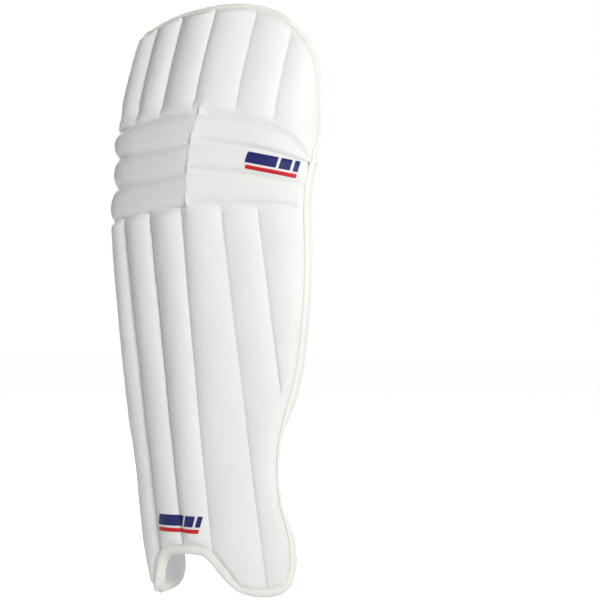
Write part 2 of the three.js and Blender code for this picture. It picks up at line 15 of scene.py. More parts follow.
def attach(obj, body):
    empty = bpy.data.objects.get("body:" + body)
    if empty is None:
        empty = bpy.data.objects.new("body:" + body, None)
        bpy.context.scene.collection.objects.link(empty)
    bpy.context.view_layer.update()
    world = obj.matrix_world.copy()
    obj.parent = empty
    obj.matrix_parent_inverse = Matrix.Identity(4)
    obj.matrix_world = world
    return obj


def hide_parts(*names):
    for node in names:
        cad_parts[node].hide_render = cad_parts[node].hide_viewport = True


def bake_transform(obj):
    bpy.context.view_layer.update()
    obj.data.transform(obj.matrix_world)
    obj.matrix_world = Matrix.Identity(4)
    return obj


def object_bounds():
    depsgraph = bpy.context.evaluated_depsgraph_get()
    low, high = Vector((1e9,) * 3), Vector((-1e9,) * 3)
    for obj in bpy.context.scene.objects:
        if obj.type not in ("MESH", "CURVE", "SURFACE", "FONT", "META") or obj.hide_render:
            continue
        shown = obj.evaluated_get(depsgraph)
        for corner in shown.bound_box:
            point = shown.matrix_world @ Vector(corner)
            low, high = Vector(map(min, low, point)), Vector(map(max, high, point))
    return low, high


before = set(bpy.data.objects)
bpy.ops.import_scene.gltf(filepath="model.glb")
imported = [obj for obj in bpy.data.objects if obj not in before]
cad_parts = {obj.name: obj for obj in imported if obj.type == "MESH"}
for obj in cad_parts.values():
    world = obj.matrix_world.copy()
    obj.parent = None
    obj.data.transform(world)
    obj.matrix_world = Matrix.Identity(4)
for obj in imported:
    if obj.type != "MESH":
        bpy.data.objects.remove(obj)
cad_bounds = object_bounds()

MM = 0.001
SHIN = "shin_section"
HAT = "top_hat"

# ---- the frame's own sizes, in millimetres: a table holds [place, value] pairs ----
PANEL_BACK_Y = 34
MOUNT_HEIGHT = 305
BEND_LEFT = [[0, 86], [60, 99], [150, 111], [250, 128], [350, 142], [450, 151], [480, 153], [520, 148],
             [560, 144], [650, 146], [700, 143], [760, 136]]
EDGE_LEFT = [[0, -178], [60, -188], [150, -189], [283, -199], [391, -208], [507, -210], [600, -205]]
EDGE_RIGHT = [[0, 124], [33, 136], [60, 135], [85, 130], [120, 121], [155, 118], [190, 120], [220, 127],
              [264, 141], [294, 148], [340, 154], [399, 159], [448, 160], [495, 159], [524, 161], [555, 168],
              [600, 177]]
BOTTOM_EDGE = [[-187, 62], [-178, 30], [-165, 8], [-148, -3], [-120, -6], [-98, -6], [-82, -2], [-72, 8],
               [-64, 26], [-56, 40], [-44, 50], [-20, 53], [4, 53], [17, 50], [28, 41], [40, 27], [54, 13],
               [66, 5], [91, 1], [117, 4], [130, 14], [136, 35]]
TOP_EDGE = [[-200, 632], [-194, 664], [-182, 696], [-163, 719], [-140, 732], [-106, 740], [-88, 746],
            [-71, 751], [-54, 754], [-20, 758], [12, 760], [28, 760], [54, 757], [83, 749], [99, 741],
            [115, 729], [139, 709], [152, 692], [161, 676], [168, 655], [173, 630], [176, 606]]
SEAMS = [
    [[-210, 475], [-142, 486], [-54, 496], [8, 501], [114, 500], [160, 495]],
    [[-210, 517], [-142, 529], [-54, 538], [3, 546], [58, 541], [114, 531], [162, 523]],
    [[-210, 556], [-142, 568], [-54, 576], [8, 582], [86, 572], [168, 553]],
    [[-210, 590], [-142, 603], [-94, 611], [-54, 617], [0, 621], [26, 620], [70, 610], [112, 599],
     [142, 583], [162, 563], [178, 553]],
]
SEAM_LOWEST, SEAM_TOP = SEAMS[0], SEAMS[-1]
SHIN_GROOVES_AT_TOP = [-165, -119, -71, -14, 47, 95]
SHIN_GROOVES_AT_FOOT = [-122, -60, -17, 28, 96, 150]
GROOVES_TOP, GROOVES_FOOT = 488, 62
HAT_LEFT_AND_GROOVES, HAT_RIGHT = [-200, -147, -98, -57, -1, 60, 113], 176
RIBS = 7
KNEE_CREASE = [[470, -3], [495, -2], [544, 0], [581, 4], [623, 12], [650, 15]]
BOLSTER_INNER = [[60, 36], [300, 32], [535, 30]]
BOLSTER_OUTER = [[60, 84], [300, 99], [535, 103]]
BOLSTER_HEAD = 535
PANEL_FOOT, PANEL_HEAD = 80, 533
GUSSET_FOOT, GUSSET_HEAD, GUSSET_OUTER = 530, 596, 106
LOCATOR_FOOT, LOCATOR_BELOW_TOP_EDGE = 536, 5
LOCATOR_HALF_WIDTH = [[528, 42], [550, 47], [575, 60], [600, 82], [625, 99], [660, 102], [700, 97], [730, 88],
                      [760, 74]]
CALF_STRAP_HEIGHT, ANKLE_STRAP_HEIGHT = 414, 172

# How the surface turns, in degrees: softly at the ridge, and back round the leg on both sides.
RIDGE_TURN, RIDGE_WIDTH = 12, 22
SIDE_TURN_LEFT, SIDE_BLEND_LEFT = 84, 30
SIDE_TURN_RIGHT, SIDE_BLEND_RIGHT = [[0, 26], [540, 26], [640, 44]], 36
RIGHT_BEND_NEARER = 5
# The pad stands furthest forward at the knee, and the top hat leans towards the wing.
KNEE, LEAN_FROM, HEAD = 560, 600, 760
FOOT_BACK, HEAD_BACK, HEAD_LEAN = 12, 35, 22

# How far out of the surface at the ribs' crests each layer lies
SKIN = 1.6  # thickness of the face covers
SEWN_DEPTH = 0.8  # of the sewn line itself
CROWN = 6.2  # fall from the middle of a rib to the sewn line
LANDING = -5.2  # the flat border that the binding is sewn on
FOAM_GAP, FOAM_BACK = 0.2, -11.5
LINING_BACK, LINING_AT_EDGE, LINING_THICK = -17.6, -14.9, 1.2
BEHIND_LINING = -18.8


# ---- small maths ----
def mix(a, b, t):
    return a + (b - a) * t


def smooth(edge0, edge1, x):
    """0 before edge0, 1 after edge1, and a soft step between."""
    t = np.clip((x - edge0) / (edge1 - edge0), 0, 1)
    return t * t * (3 - 2 * t)


def bell(x, width, power=2):
    """1 at 0, falling softly to nothing on both sides."""
    return np.exp(-np.abs(x / width) ** power)


def unit(vectors):
    return vectors / np.linalg.norm(vectors, axis=-1, keepdims=True)


def table_value(table, x):
    """Smooth interpolation of a table, with slopes that don't overshoot."""
    knots, values = np.array(table, float).T
    slopes = np.diff(values) / np.diff(knots)
    before, after = slopes[:-1], slopes[1:]
    total = np.where(before * after > 0, before + after, 1)
    inner = np.where(before * after > 0, 2 * before * after / total, 0)
    tangents = np.concatenate([[0.5 * slopes[0]], inner, [0.5 * slopes[-1]]])
    x = np.clip(np.asarray(x, float), knots[0], knots[-1])
    i = np.clip(np.searchsorted(knots, x, side="right") - 1, 0, len(slopes) - 1)
    span = knots[i + 1] - knots[i]
    t = (x - knots[i]) / span
    return ((2 * t**3 - 3 * t**2 + 1) * values[i] + (t**3 - 2 * t**2 + t) * span * tangents[i]
            + (3 * t**2 - 2 * t**3) * values[i + 1] + (t**3 - t**2) * span * tangents[i + 1])


def soft_noise(x, y, cell, seed):
    """Smooth random values from -1 to 1 over a plane, with features about `cell` across."""
    lattice = np.random.RandomState(seed).uniform(-1, 1, (64, 64))
    x, y = np.asarray(x, float) / cell, np.asarray(y, float) / cell
    i, j = np.floor(x).astype(int), np.floor(y).astype(int)
    u, v = smooth(0, 1, x - i), smooth(0, 1, y - j)

    def corner(right, up):
        return lattice[(i + right) % 64, (j + up) % 64]

    return mix(mix(corner(0, 0), corner(1, 0), u), mix(corner(0, 1), corner(1, 1), u), v)


def dense(count, gather=0.5):
    """Values from 0 to 1, closer together at both ends."""
    line = np.linspace(0, 1, count + 1)
    return mix(line, 0.5 - 0.5 * np.cos(np.pi * line), gather)


# ---- lines ----
def lengths_along(points):
    return np.concatenate([[0], np.cumsum(np.linalg.norm(np.diff(points, axis=0), axis=1))])


def spaced(points, pitch):
    """The same open line with points at an even pitch."""
    points = np.asarray(points, float)
    lengths = lengths_along(points)
    targets = np.linspace(0, lengths[-1], max(2, int(lengths[-1] / pitch) + 1))
    return np.stack([np.interp(targets, lengths, column) for column in points.T], -1)


def spaced_loop(points, pitch):
    return spaced(np.concatenate([points, points[:1]]), pitch)


def eased(line, passes, weight=2):
    """The same line with its small corners rounded."""
    for _ in range(passes):
        line[1:-1] = (line[:-2] + weight * line[1:-1] + line[2:]) / (2 + weight)
    return line


def rounded_outline(x0, z0, x1, z1, left, right, steps=14):
    """A rectangle with its left and right corners rounded by these radii."""
    points = []
    corners = [(x1 - right, z1 - right, right, 0), (x0 + left, z1 - left, left, 90),
               (x0 + left, z0 + left, left, 180), (x1 - right, z0 + right, right, 270)]
    for x, z, radius, start in corners:
        for angle in np.radians(np.linspace(start, start + 90, steps)):
            points.append((x + radius * math.cos(angle), z + radius * math.sin(angle)))
    return np.array(points)


# ---- the pad's curved surface ----
def pad_frame(across, z):
    """The surface's point at the ribs' crests, in millimetres, and the directions along and out of it."""
    across, z = np.broadcast_arrays(np.asarray(across, float), np.asarray(z, float))
    bend_left = table_value(BEND_LEFT, z)
    bend_right = bend_left - RIGHT_BEND_NEARER
    turn_right = table_value(SIDE_TURN_RIGHT, z)

    def turned(a):
        degrees = (RIDGE_TURN * np.tanh(a / RIDGE_WIDTH)
                   + 0.5 * turn_right * (1 + np.tanh((a - bend_right) / SIDE_BLEND_RIGHT))
                   - 0.5 * SIDE_TURN_LEFT * (1 + np.tanh((-a - bend_left) / SIDE_BLEND_LEFT)))
        return np.radians(degrees)

    steps = 24
    x = HEAD_LEAN * np.maximum(0, (z - LEAN_FROM) / (HEAD - LEAN_FROM)) ** 1.2
    y = (FOOT_BACK * np.maximum(0, (KNEE - z) / KNEE) ** 1.5
         + HEAD_BACK * np.maximum(0, (z - KNEE) / (HEAD - KNEE)) ** 1.4)
    for i in range(steps):
        angle = turned(across * (i + 0.5) / steps)
        x = x + np.cos(angle) * across / steps
        y = y + np.sin(angle) * across / steps
    angle = turned(across)
    upward = np.zeros_like(angle)
    along = np.stack([np.cos(angle), np.sin(angle), upward], -1)
    front = np.stack([np.sin(angle), -np.cos(angle), upward], -1)
    return np.stack([x, y, z], -1), along, front


def to_row(points):
    """From the pad's millimetres to the frame's metres."""
    return (points - [0, PANEL_BACK_Y, MOUNT_HEIGHT]) * MM


def pad_point(across, z, out):
    point, _, front = pad_frame(across, z)
    return to_row(point + front * np.asarray(out, float)[..., None])


def behind(across, z, depth):
    """A point `depth` straight back from just behind the lining."""
    depth = np.broadcast_to(np.asarray(depth, float), np.shape(across))
    return pad_point(across, z, BEHIND_LINING) + np.stack([depth * 0, depth * MM, depth * 0], -1)


# ---- meshes ----
def new_object(name, points, faces, material, smooth_angle=50):
    mesh = bpy.data.meshes.new(name)
    mesh.from_pydata([tuple(p) for p in points], [], [tuple(int(i) for i in f) for f in faces])
    mesh.validate()
    mesh.update()
    mesh.polygons.foreach_set("use_smooth", [True] * len(mesh.polygons))
    mesh.set_sharp_from_angle(angle=math.radians(smooth_angle))
    mesh.materials.append(material)
    obj = bpy.data.objects.new(name, mesh)
    bpy.context.collection.objects.link(obj)
    return obj


def set_uv(obj, name, x, y):
    """A UV layer in metres, from millimetres. A slab's back sheet repeats its front sheet's values."""
    mesh = obj.data
    values = np.stack([v.ravel() for v in np.broadcast_arrays(x, y)], -1) * MM
    values = np.resize(values, (len(mesh.vertices), 2))
    index = np.empty(len(mesh.loops), int)
    mesh.loops.foreach_get("vertex_index", index)
    mesh.uv_layers.new(name=name).data.foreach_set("uv", values[index].ravel())


def slab_faces(rows, columns):
    """Faces of a closed slab: a front sheet of rows x columns, a back sheet and the rim between."""
    front = np.arange((rows + 1) * (columns + 1)).reshape(rows + 1, columns + 1)
    back = front + front.size
    strips = [
        (front[:-1, :-1], front[:-1, 1:], front[1:, 1:], front[1:, :-1]),
        (back[:-1, :-1], back[1:, :-1], back[1:, 1:], back[:-1, 1:]),
        (front[0, :-1], back[0, :-1], back[0, 1:], front[0, 1:]),
        (front[-1, :-1], front[-1, 1:], back[-1, 1:], back[-1, :-1]),
        (front[:-1, 0], front[1:, 0], back[1:, 0], back[:-1, 0]),
        (front[:-1, -1], back[:-1, -1], back[1:, -1], front[1:, -1]),
    ]
    return np.concatenate([np.stack(corners, -1).reshape(-1, 4) for corners in strips])


def ring_faces(count, sides, closed=False):
    """Faces through rings of points, which end in two caps or come back to the first ring."""
    index = np.arange(count * sides).reshape(count, sides)
    ring, following = (index, np.roll(index, -1, 0)) if closed else (index[:-1], index[1:])
    quads = np.stack([ring, following, np.roll(following, -1, 1), np.roll(ring, -1, 1)], -1).reshape(-1, 4)
    caps = [] if closed else [index[0], index[-1][::-1]]
    return [*quads, *caps]


def slab(name, across, z, front, back, material):
    """A closed slab between two sheets of points on the same grid."""
    points = np.concatenate([front.reshape(-1, 3), back.reshape(-1, 3)])
    obj = new_object(name, points, slab_faces(across.shape[0] - 1, across.shape[1] - 1), material)
    set_uv(obj, "pad", across, z)
    return obj


def front_slab(name, across, z, front, back, material):
    """A closed slab between two distances out from the pad's surface."""
    return slab(name, across, z, pad_point(across, z, front), pad_point(across, z, back), MATERIALS[material])


def tube(name, rings, run, around, material):
    """A closed solid through rings of points, with its ends capped."""
    obj = new_object(name, rings.reshape(-1, 3), ring_faces(*rings.shape[:2]), material, 60)
    set_uv(obj, "pad", run[:, None], around[None, :])
    return obj


def assign(piece, body, slot, *replaced, fill=None):
    """Gives a finished piece its body and hides the nodes that it replaces. The slot is not used.

    The top hat's pieces are not attached to a body: their transforms are baked into their meshes."""
    if replaced:
        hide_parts(*replaced)
    if body == HAT:
        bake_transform(piece)
    else:
        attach(piece, body)


# ---- outline of the pad ----
def upright(table, heights):
    return np.stack([table_value(table, heights), heights], -1)


def level(table, across):
    return np.stack([across, table_value(table, across)], -1)


def hat_right(z):
    """The top hat's edge on the wing side draws in to meet the shin's."""
    return HAT_RIGHT - 7.5 * (1 - smooth(550, 602, z))


shin_outline = eased(spaced(np.concatenate([
    upright(EDGE_LEFT, np.linspace(592, 64, 120)),
    level(BOTTOM_EDGE, np.linspace(-187, 136, 700)),
    upright(EDGE_RIGHT, np.linspace(36, 556, 120)),
]), 1.5), 10)
hat_outline = eased(spaced(np.concatenate([
    [[hat_right(z) + 0.5, z] for z in np.linspace(552, 604, 14)],
    level(TOP_EDGE, np.linspace(176, -200, 500)),
    [[-201.5, 612], [-204.6, 591.5]],
]), 1.5), 10)


def lap_at(outline):
    """How far the binding comes over the front: most round the instep, and least on the top hat."""
    across, z = outline.T
    instep = smooth(-88, -62, across) * (1 - smooth(42, 64, across)) * (1 - smooth(70, 90, z))
    notch = np.where(across > 80, smooth(40, 90, z) * (1 - smooth(205, 260, z)), 0)
    return np.where(z > 570, 2.6, 4.4) + 3.6 * instep - 2.0 * notch


def slant_at(outline):
    """How far the pad's back reaches past its front at the edge, so that the edge's side shows."""
    across, z = outline.T
    on_wing = smooth(70, 116, across)
    wing = smooth(200, 262, z) * (1 - smooth(548, 575, z)) + 1 - smooth(70, 118, z)
    instep = (1 - smooth(70, 90, z)) * smooth(-170, -135, across)
    return mix(2.5 * instep, 4.6 * wing, on_wing)


def nearest_edge(outline, across, z):
    """Distance from the outline, and how far the binding laps there."""
    tree = KDTree(len(outline))
    for i, (a, b) in enumerate(outline):
        tree.insert((a, b, 0), i)
    tree.balance()
    found = [tree.find((a, b, 0))[1:] for a, b in zip(across.ravel(), z.ravel())]
    nearest, distance = np.array(found).T
    laps = lap_at(outline)[nearest.astype(int)]
    return distance.reshape(across.shape), laps.reshape(across.shape)


# ---- shapes of the front ----
def rib_profile(knots, across):
    """(depth below the crest, 1 on the sewn lines) for grooves at the inner knots.

    The last groove dies out where it comes close to the edge."""
    room = smooth(10, 22, knots[..., -1] - knots[..., -2])
    merged = grooves_between(np.delete(knots, -2, axis=-1), across)
    separate = grooves_between(knots, across)
    strength = mix(1.3, 0.5, smooth(-50, 60, across))
    return strength * mix(merged[0], separate[0], room), mix(merged[1], separate[1], room)


def grooves_between(knots, across):
    nearest, width, centre = (np.full(across.shape, value) for value in (1e9, 0.0, 0.0))
    for k in range(knots.shape[-1] - 1):
        low, high = knots[..., k], knots[..., k + 1]
        inside = (across >= low) & (across <= high)
        width = np.where(inside, high - low, width)
        centre = np.where(inside, 0.5 * (low + high), centre)
        if k:
            nearest = np.minimum(nearest, np.abs(across - low))
    share = np.clip(2 * np.abs(across - centre) / np.maximum(width, 1), 0, 1)
    sewn = bell(nearest, 2.4, 1.5)
    return CROWN * share**2.15 * np.clip(width / 47, 0.3, 1.12) + SEWN_DEPTH * sewn, sewn


def knee_crease(across, z):
    """How far the front sinks each side of the fold down the middle of the knee, tucked in at each seam."""
    offset = across - table_value(KNEE_CREASE, z) - 1.8 * np.sin(z / 6.3)
    reach = smooth(474, 502, z) * (1 - smooth(618, 648, z))
    fold = 0.2 * (np.abs(offset) - 14 * np.log(np.cosh(np.clip(offset, -400, 400) / 14)))
    near_seam = sum(bell(z - table_value(seam, across) - 4, 6.5) for seam in SEAMS)
    tuck = (0.3 + 2.5 * near_seam) * np.tanh(offset / 1.1) * bell(offset, 9, 1)
    return reach * (fold - tuck)


def softness(across, z):
    """The slight unevenness of foam under a soft cover."""
    return (0.45 * soft_noise(across, z, 46, 3) + 0.28 * soft_noise(across, z, 17, 4)
            + 0.09 * soft_noise(across, z, 6, 5))


def bordered(out, distance, lap, reach=9):
    """Brings a face down to the border that the binding is sewn on."""
    return mix(np.minimum(out, LANDING), out, smooth(0, 1, (distance - lap + 1) / reach) ** 0.8)


def seam_depth(across):
    """The knee rolls stand out more where the pad turns back on the side without a wing."""
    return mix(4.0, 9.0, smooth(85, 165, -across)) * mix(1, 0.75, smooth(90, 150, across))


def seam_dip(distance, depth, width):
    """A rounded valley along a seam, with the welt of the seam standing up a little in it."""
    return depth * bell(distance, width, 1.8) - seam_welt(distance)


def seam_welt(distance):
    return 0.55 * bell(distance, 1.6)


def shin_knots(z):
    """The shin's left edge, its grooves and its right edge at each height."""
    down = (GROOVES_TOP - z) / (GROOVES_TOP - GROOVES_FOOT)
    left, right = table_value(EDGE_LEFT, z), table_value(EDGE_RIGHT, z)
    grooves = []
    for i, (top, foot) in enumerate(zip(SHIN_GROOVES_AT_TOP, SHIN_GROOVES_AT_FOOT)):
        room = 9 * (len(SHIN_GROOVES_AT_TOP) - i)
        grooves.append(np.minimum(mix(top, foot, down), right - room))
    return np.stack([left, *grooves, right], -1)


def hat_knots(z, right=HAT_RIGHT):
    inner = [np.full(z.shape, float(knot)) for knot in HAT_LEFT_AND_GROOVES]
    return np.stack([*inner, np.broadcast_to(right, z.shape)], -1)


def along_knots(knots, s):
    i = np.clip(np.floor(s * RIBS).astype(int), 0, RIBS - 1)
    low, high = (np.take_along_axis(knots, k[..., None], -1)[..., 0] for k in (i, i + 1))
    return mix(low, high, s * RIBS - i)


def ribbed_grid(each, rows, knots_at, foot, head, first_height, rounds):
    """(share of the width, across, height) on a grid between a lower and an upper edge, whose columns follow
    the ribs, `each` to a rib."""
    inside = dense(each, 0.75)[:-1]
    columns = np.append(np.concatenate([(rib + inside) / RIBS for rib in range(RIBS)]), 1.0)
    s, t = np.meshgrid(columns, dense(rows, 0.5))
    z = np.full(s.shape, float(first_height))
    for _ in range(rounds):
        across = along_knots(knots_at(z), s)
        z = mix(table_value(foot, across), table_value(head, across), t)
    return s, across, z


def shin_grid(each, rows):
    s, _, z = ribbed_grid(each, rows, shin_knots, BOTTOM_EDGE, SEAM_LOWEST, GROOVES_FOOT, 10)
    return along_knots(shin_knots(z), s), z


def hat_grid(each, rows):
    def knots_at(z):
        return hat_knots(z, hat_right(z))

    return ribbed_grid(each, rows, knots_at, SEAM_TOP, TOP_EDGE, 700, 8)[1:]


def cover(name, body, across, z, out, sewn, replaced, foam):
    """A face cover, and the foam behind it."""
    face = front_slab(f"{name}_face", across, z, out, out - SKIN, "face")
    # The sewn lines' mask, which the face material uses to paint shade into the grooves.
    groove = face.data.attributes.new("groove", "FLOAT", "POINT")
    groove.data.foreach_set("value", np.tile(sewn.ravel(), 2))
    assign(face, body, "face", replaced, fill=0.8)
    across, z, out = (grid[::2, ::2] for grid in (across, z, out))
    filling = front_slab(f"{name}_filling", across, z, out - SKIN - FOAM_GAP, FOAM_BACK, "foam")
    assign(filling, body, "foam", foam, fill=0.8)


def shin_face():
    across, z = shin_grid(28, 200)
    depth, sewn = rib_profile(shin_knots(z), across)
    to_seam = table_value(SEAM_LOWEST, across) - z
    fade = smooth(0, 14, to_seam)
    out = -depth * mix(0.35, 1, fade) - seam_dip(to_seam, seam_depth(across) * 0.8, 6)
    out = out - knee_crease(across, z) + softness(across, z)
    out = bordered(out, *nearest_edge(shin_outline, across, z))
    cover("shin", SHIN, across, z, out, sewn * fade, "shin_cover", "shin_foam")


def hat_face():
    across, z = hat_grid(28, 100)
    depth, sewn = rib_profile(hat_knots(z), across)
    to_seam = z - table_value(SEAM_TOP, across)
    fade = smooth(3, 20, to_seam)
    dip = seam_depth(across) * mix(0.8, 0.3, smooth(165, 198, -across))
    out = -depth * mix(0.2, 1, fade) - seam_dip(to_seam, dip, 5) + 0.8
    out = out - knee_crease(across, z) + softness(across, z)
    out = bordered(out, *nearest_edge(hat_outline, across, z), reach=7)
    cover("top_hat", HAT, across, z, out, sewn * fade, "top_hat_cover", "top_hat_foam")


# Each knee roll's left and right end, from the lowest
ROLLS = {"lower": (-207, 157.5), "middle": (-206, 161.5), "upper": (-204, 167)}


def roll_out(across, z, low, high):
    """The front of a knee roll between two seams."""
    bottom, top = table_value(low, across), table_value(high, across)
    t = np.clip((z - bottom) / np.maximum(top - bottom, 1), 0, 1)
    from_middle = np.abs(2 * t - 1)
    rounded_valley = 0.5 - 0.5 * np.cos(np.pi * from_middle**2.4)
    bulge = mix(rounded_valley, from_middle**2.3, smooth(85, 150, -across))
    crest = 2.2 - 1.2 * smooth(110, 150, across)
    out = mix(crest, -seam_depth(across) * 0.8, bulge) + seam_welt(np.minimum(z - bottom, top - z))
    return out - knee_crease(across, z) + softness(across, z)


def roll_face(name, low, high, left, right):
    s, t = np.meshgrid(np.linspace(0, 1, 321), dense(28, 0.6))
    across = mix(left, right, s)
    z = mix(table_value(low, across), table_value(high, across), t)
    out = roll_out(across, z, low, high)
    out = bordered(out, np.minimum(across - left, right - across) + 2.5, 4.6)
    cover(f"knee_roll_{name}", SHIN, across, z, out, np.zeros_like(out), f"knee_roll_cover_{name}",
          f"knee_roll_core_{name}")


# ---- binding ----
def tape_section(lap, slant):
    """The tape's section for each point of the outline: outward from the edge, and out from the surface."""
    rows = [(-lap, -6.0), (-lap + 0.1, -4.5), (-lap + 0.9, -3.9), (-1.2, -3.7), (0.9, -4.2),
            (2.3 + 0.1 * slant, -5.4), (2.9 + 0.25 * slant, -7.2), (2.6 + 0.4 * slant, -8.8),
            (1.3 + 0.6 * slant, -9.9), (1.3 + 0.7 * slant, -10.9), (2.7 + 0.85 * slant, -12),
            (2.8 + slant, -13.6), (2.1 + slant, -15.2), (0.6 + slant, -16), (-1.5 + 0.8 * slant, -16.5),
            (-8, -16.6), (-8.9, -16.3), (-9, -15.5), (-2 + 0.8 * slant, -15.3), (0.5 + 0.75 * slant, -13.5),
            (1 + 0.5 * slant, -10), (0.6, -7.2), (-1.2, -6.4)]
    return np.stack([np.stack(np.broadcast_arrays(outward, out, lap)[:2], -1) for outward, out in rows], 1)


def outward_of(outline):
    """The direction away from the pad, which lies on the outline's left."""
    tangent = unit(eased(np.gradient(outline, axis=0), 6, weight=1))
    return np.stack([tangent[:, 1], -tangent[:, 0]], -1)


def tape(name, whole, keep):
    """A tape folded over the pad's edge, along the part of the outline where keep is true."""
    section = tape_section(lap_at(whole), slant_at(whole))[keep]
    outward, outline = outward_of(whole)[keep], whole[keep]
    run = lengths_along(outline)
    ripple = 0.16 * np.sin(run / 2.9) * smooth(-0.3, 0.6, soft_noise(run, run * 0, 40, 9))
    ripple = ripple + 0.22 * soft_noise(run, run * 0, 9, 8)
    places = outline[:, None] + outward[:, None] * section[..., :1]
    loose = (section[..., 0] > -lap_at(outline)[:, None] + 0.5) & (section[..., 1] > -16)
    rings = pad_point(places[..., 0], places[..., 1], section[..., 1] + ripple[:, None] * loose)
    return tube(name, rings, run, np.linspace(0, 50, section.shape[1]), MATERIALS["binding"])


# A bead of thread: (share of its length, share of its radius)
BEAD = [(0, 0.25), (0.15, 0.85), (0.5, 1), (0.85, 0.85), (1, 0.25)]
BEAD_SIDES = 6


def stitches(name, points, normals, length, gap, radius, material):
    """Short beads of thread along a line of points, in metres, lying on the surface with these normals."""
    run = lengths_along(points)
    length, pitch, radius = length * MM, (length + gap) * MM, radius * MM
    starts = np.arange(pitch / 2, run[-1] - length, pitch)

    def at_run(values, lengths):
        return np.stack([np.interp(lengths, run, column) for column in values.T], -1)

    first, last = at_run(points, starts), at_run(points, starts + length)
    along = unit(last - first)
    up = at_run(normals, starts)
    up = unit(up - along * (up * along).sum(-1, keepdims=True))
    share, thick = np.array(BEAD).T[..., None]
    angles = -2 * math.pi / BEAD_SIDES * np.arange(BEAD_SIDES)[:, None]
    spokes = np.cos(angles) * np.cross(along, up)[:, None] + np.sin(angles) * up[:, None]
    centres = first[:, None] + (last - first)[:, None] * share
    beads = centres[:, :, None] + radius * thick[:, None] * spokes[:, None]
    one = ring_faces(len(BEAD), BEAD_SIDES)
    faces = [face + bead * len(BEAD) * BEAD_SIDES for bead in range(len(starts)) for face in one]
    return new_object(name, beads.reshape(-1, 3), faces, MATERIALS[material], 80)


def edge_stitches(name, whole, keep, behind_pad):
    """The thread through the binding, just inside its front or back edge."""
    inset = np.full(keep.sum(), 7.2) if behind_pad else lap_at(whole)[keep] - 1.6
    across, z = (whole[keep] - outward_of(whole)[keep] * inset[:, None]).T
    _, _, front = pad_frame(across, z)
    points = pad_point(across, z, -16.65 if behind_pad else -3.85)
    return stitches(name, points, -front if behind_pad else front, 2.6, 1.1, 0.36, "thread")


def binding(name, body, outline, keep, replaced):
    assign(tape(name, outline, keep), body, "binding", replaced)
    for place, behind_pad in (("front", False), ("back", True)):
        assign(edge_stitches(f"{name}_stitches_{place}", outline, keep, behind_pad), body, "binding")


# ---- back lining ----
def lining(name, body, across, z, relief, outline, replaced):
    distance, _ = nearest_edge(outline, across, z)
    out = mix(LINING_AT_EDGE, LINING_BACK + relief, smooth(5.5, 10.5, distance))
    assign(front_slab(name, across, z, out + LINING_THICK, out, "lining"), body, "lining", replaced)


def back_relief(knots, across, z):
    """The foam's ribs swell the lining between the sewn lines."""
    depth, _ = rib_profile(knots, across)
    return 0.55 * depth - 1.3 + softness(across, z)


def knee_relief(across, z):
    """The rolls swell the lining too, below a flat reinforcing band along the top seam."""
    swell = np.ones(across.shape)
    for low, high in zip(SEAMS, SEAMS[1:]):
        bottom, top = table_value(low, across), table_value(high, across)
        t = (z - bottom) / np.maximum(top - bottom, 1)
        swell = np.where((t >= 0) & (t <= 1), np.abs(2 * t - 1) ** 2.4, swell)
    band = smooth(-19, -18, z - table_value(SEAM_TOP, across))
    relief = 4.2 * swell - 1.3 + softness(across, z) + 0.5 * soft_noise(across, z, 14, 51)
    return mix(relief, -0.6 + 0.25 * soft_noise(across, z, 11, 52), band)


# ---- back padding ----
def pillow(s, t, power=2.6, ends=8):
    """0 round the outline and 1 in the middle."""
    share = (1 - np.abs(2 * s - 1) ** power) * (1 - np.abs(2 * t - 1) ** ends)
    return np.sqrt(np.maximum(share, 0))


def beside_middle(side, inner, outer, s):
    """Places between inner and outer on one side of the pad's middle, from left to right."""
    return mix(inner, outer, s) if side > 0 else -mix(outer, inner, s)


def back_pad(name, across, z, depth, material):
    """A closed pad that lies against the lining."""
    return slab(name, across, z, behind(across, z, 0), behind(across, z, depth), MATERIALS[material])


CLOTH = {
    "quality": 6, "mass": 0.25, "tension_stiffness": 28, "compression_stiffness": 28, "shear_stiffness": 12,
    "bending_stiffness": 0.9, "use_pressure": True, "vertex_group_mass": "held", "shrink_min": -0.035,
}


def inflate(obj, shape, pressure, most, frames=22):
    """Lets air fill a pad whose front sheet and rim are held, then keeps the shape. No vertex moves further
    than `most` millimetres."""
    held = np.ones((2, *shape), bool)
    held[1, 1:-1, 1:-1] = False
    before = np.array([v.co for v in obj.data.vertices])
    group = obj.vertex_groups.new(name="held")
    group.add([int(i) for i in np.nonzero(held.ravel())[0]], 1.0, "REPLACE")
    cloth = obj.modifiers.new("fill", "CLOTH")
    for setting, value in CLOTH.items():
        setattr(cloth.settings, setting, value)
    cloth.settings.uniform_pressure_force = pressure
    cloth.settings.effector_weights.gravity = 0
    cloth.collision_settings.use_collision = False
    scene = bpy.context.scene
    for number in range(1, frames + 1):
        scene.frame_set(number)
    filled = obj.evaluated_get(bpy.context.evaluated_depsgraph_get())
    move = np.array([v.co for v in filled.to_mesh().vertices]) - before
    filled.to_mesh_clear()
    obj.modifiers.remove(cloth)
    size = np.linalg.norm(move, axis=1)[:, None]
    move = move * np.minimum(1, most * MM / np.maximum(size, 1e-9))
    obj.data.vertices.foreach_set("co", (before + move).ravel())
    obj.vertex_groups.remove(group)
    scene.frame_set(1)
    obj.data.update()


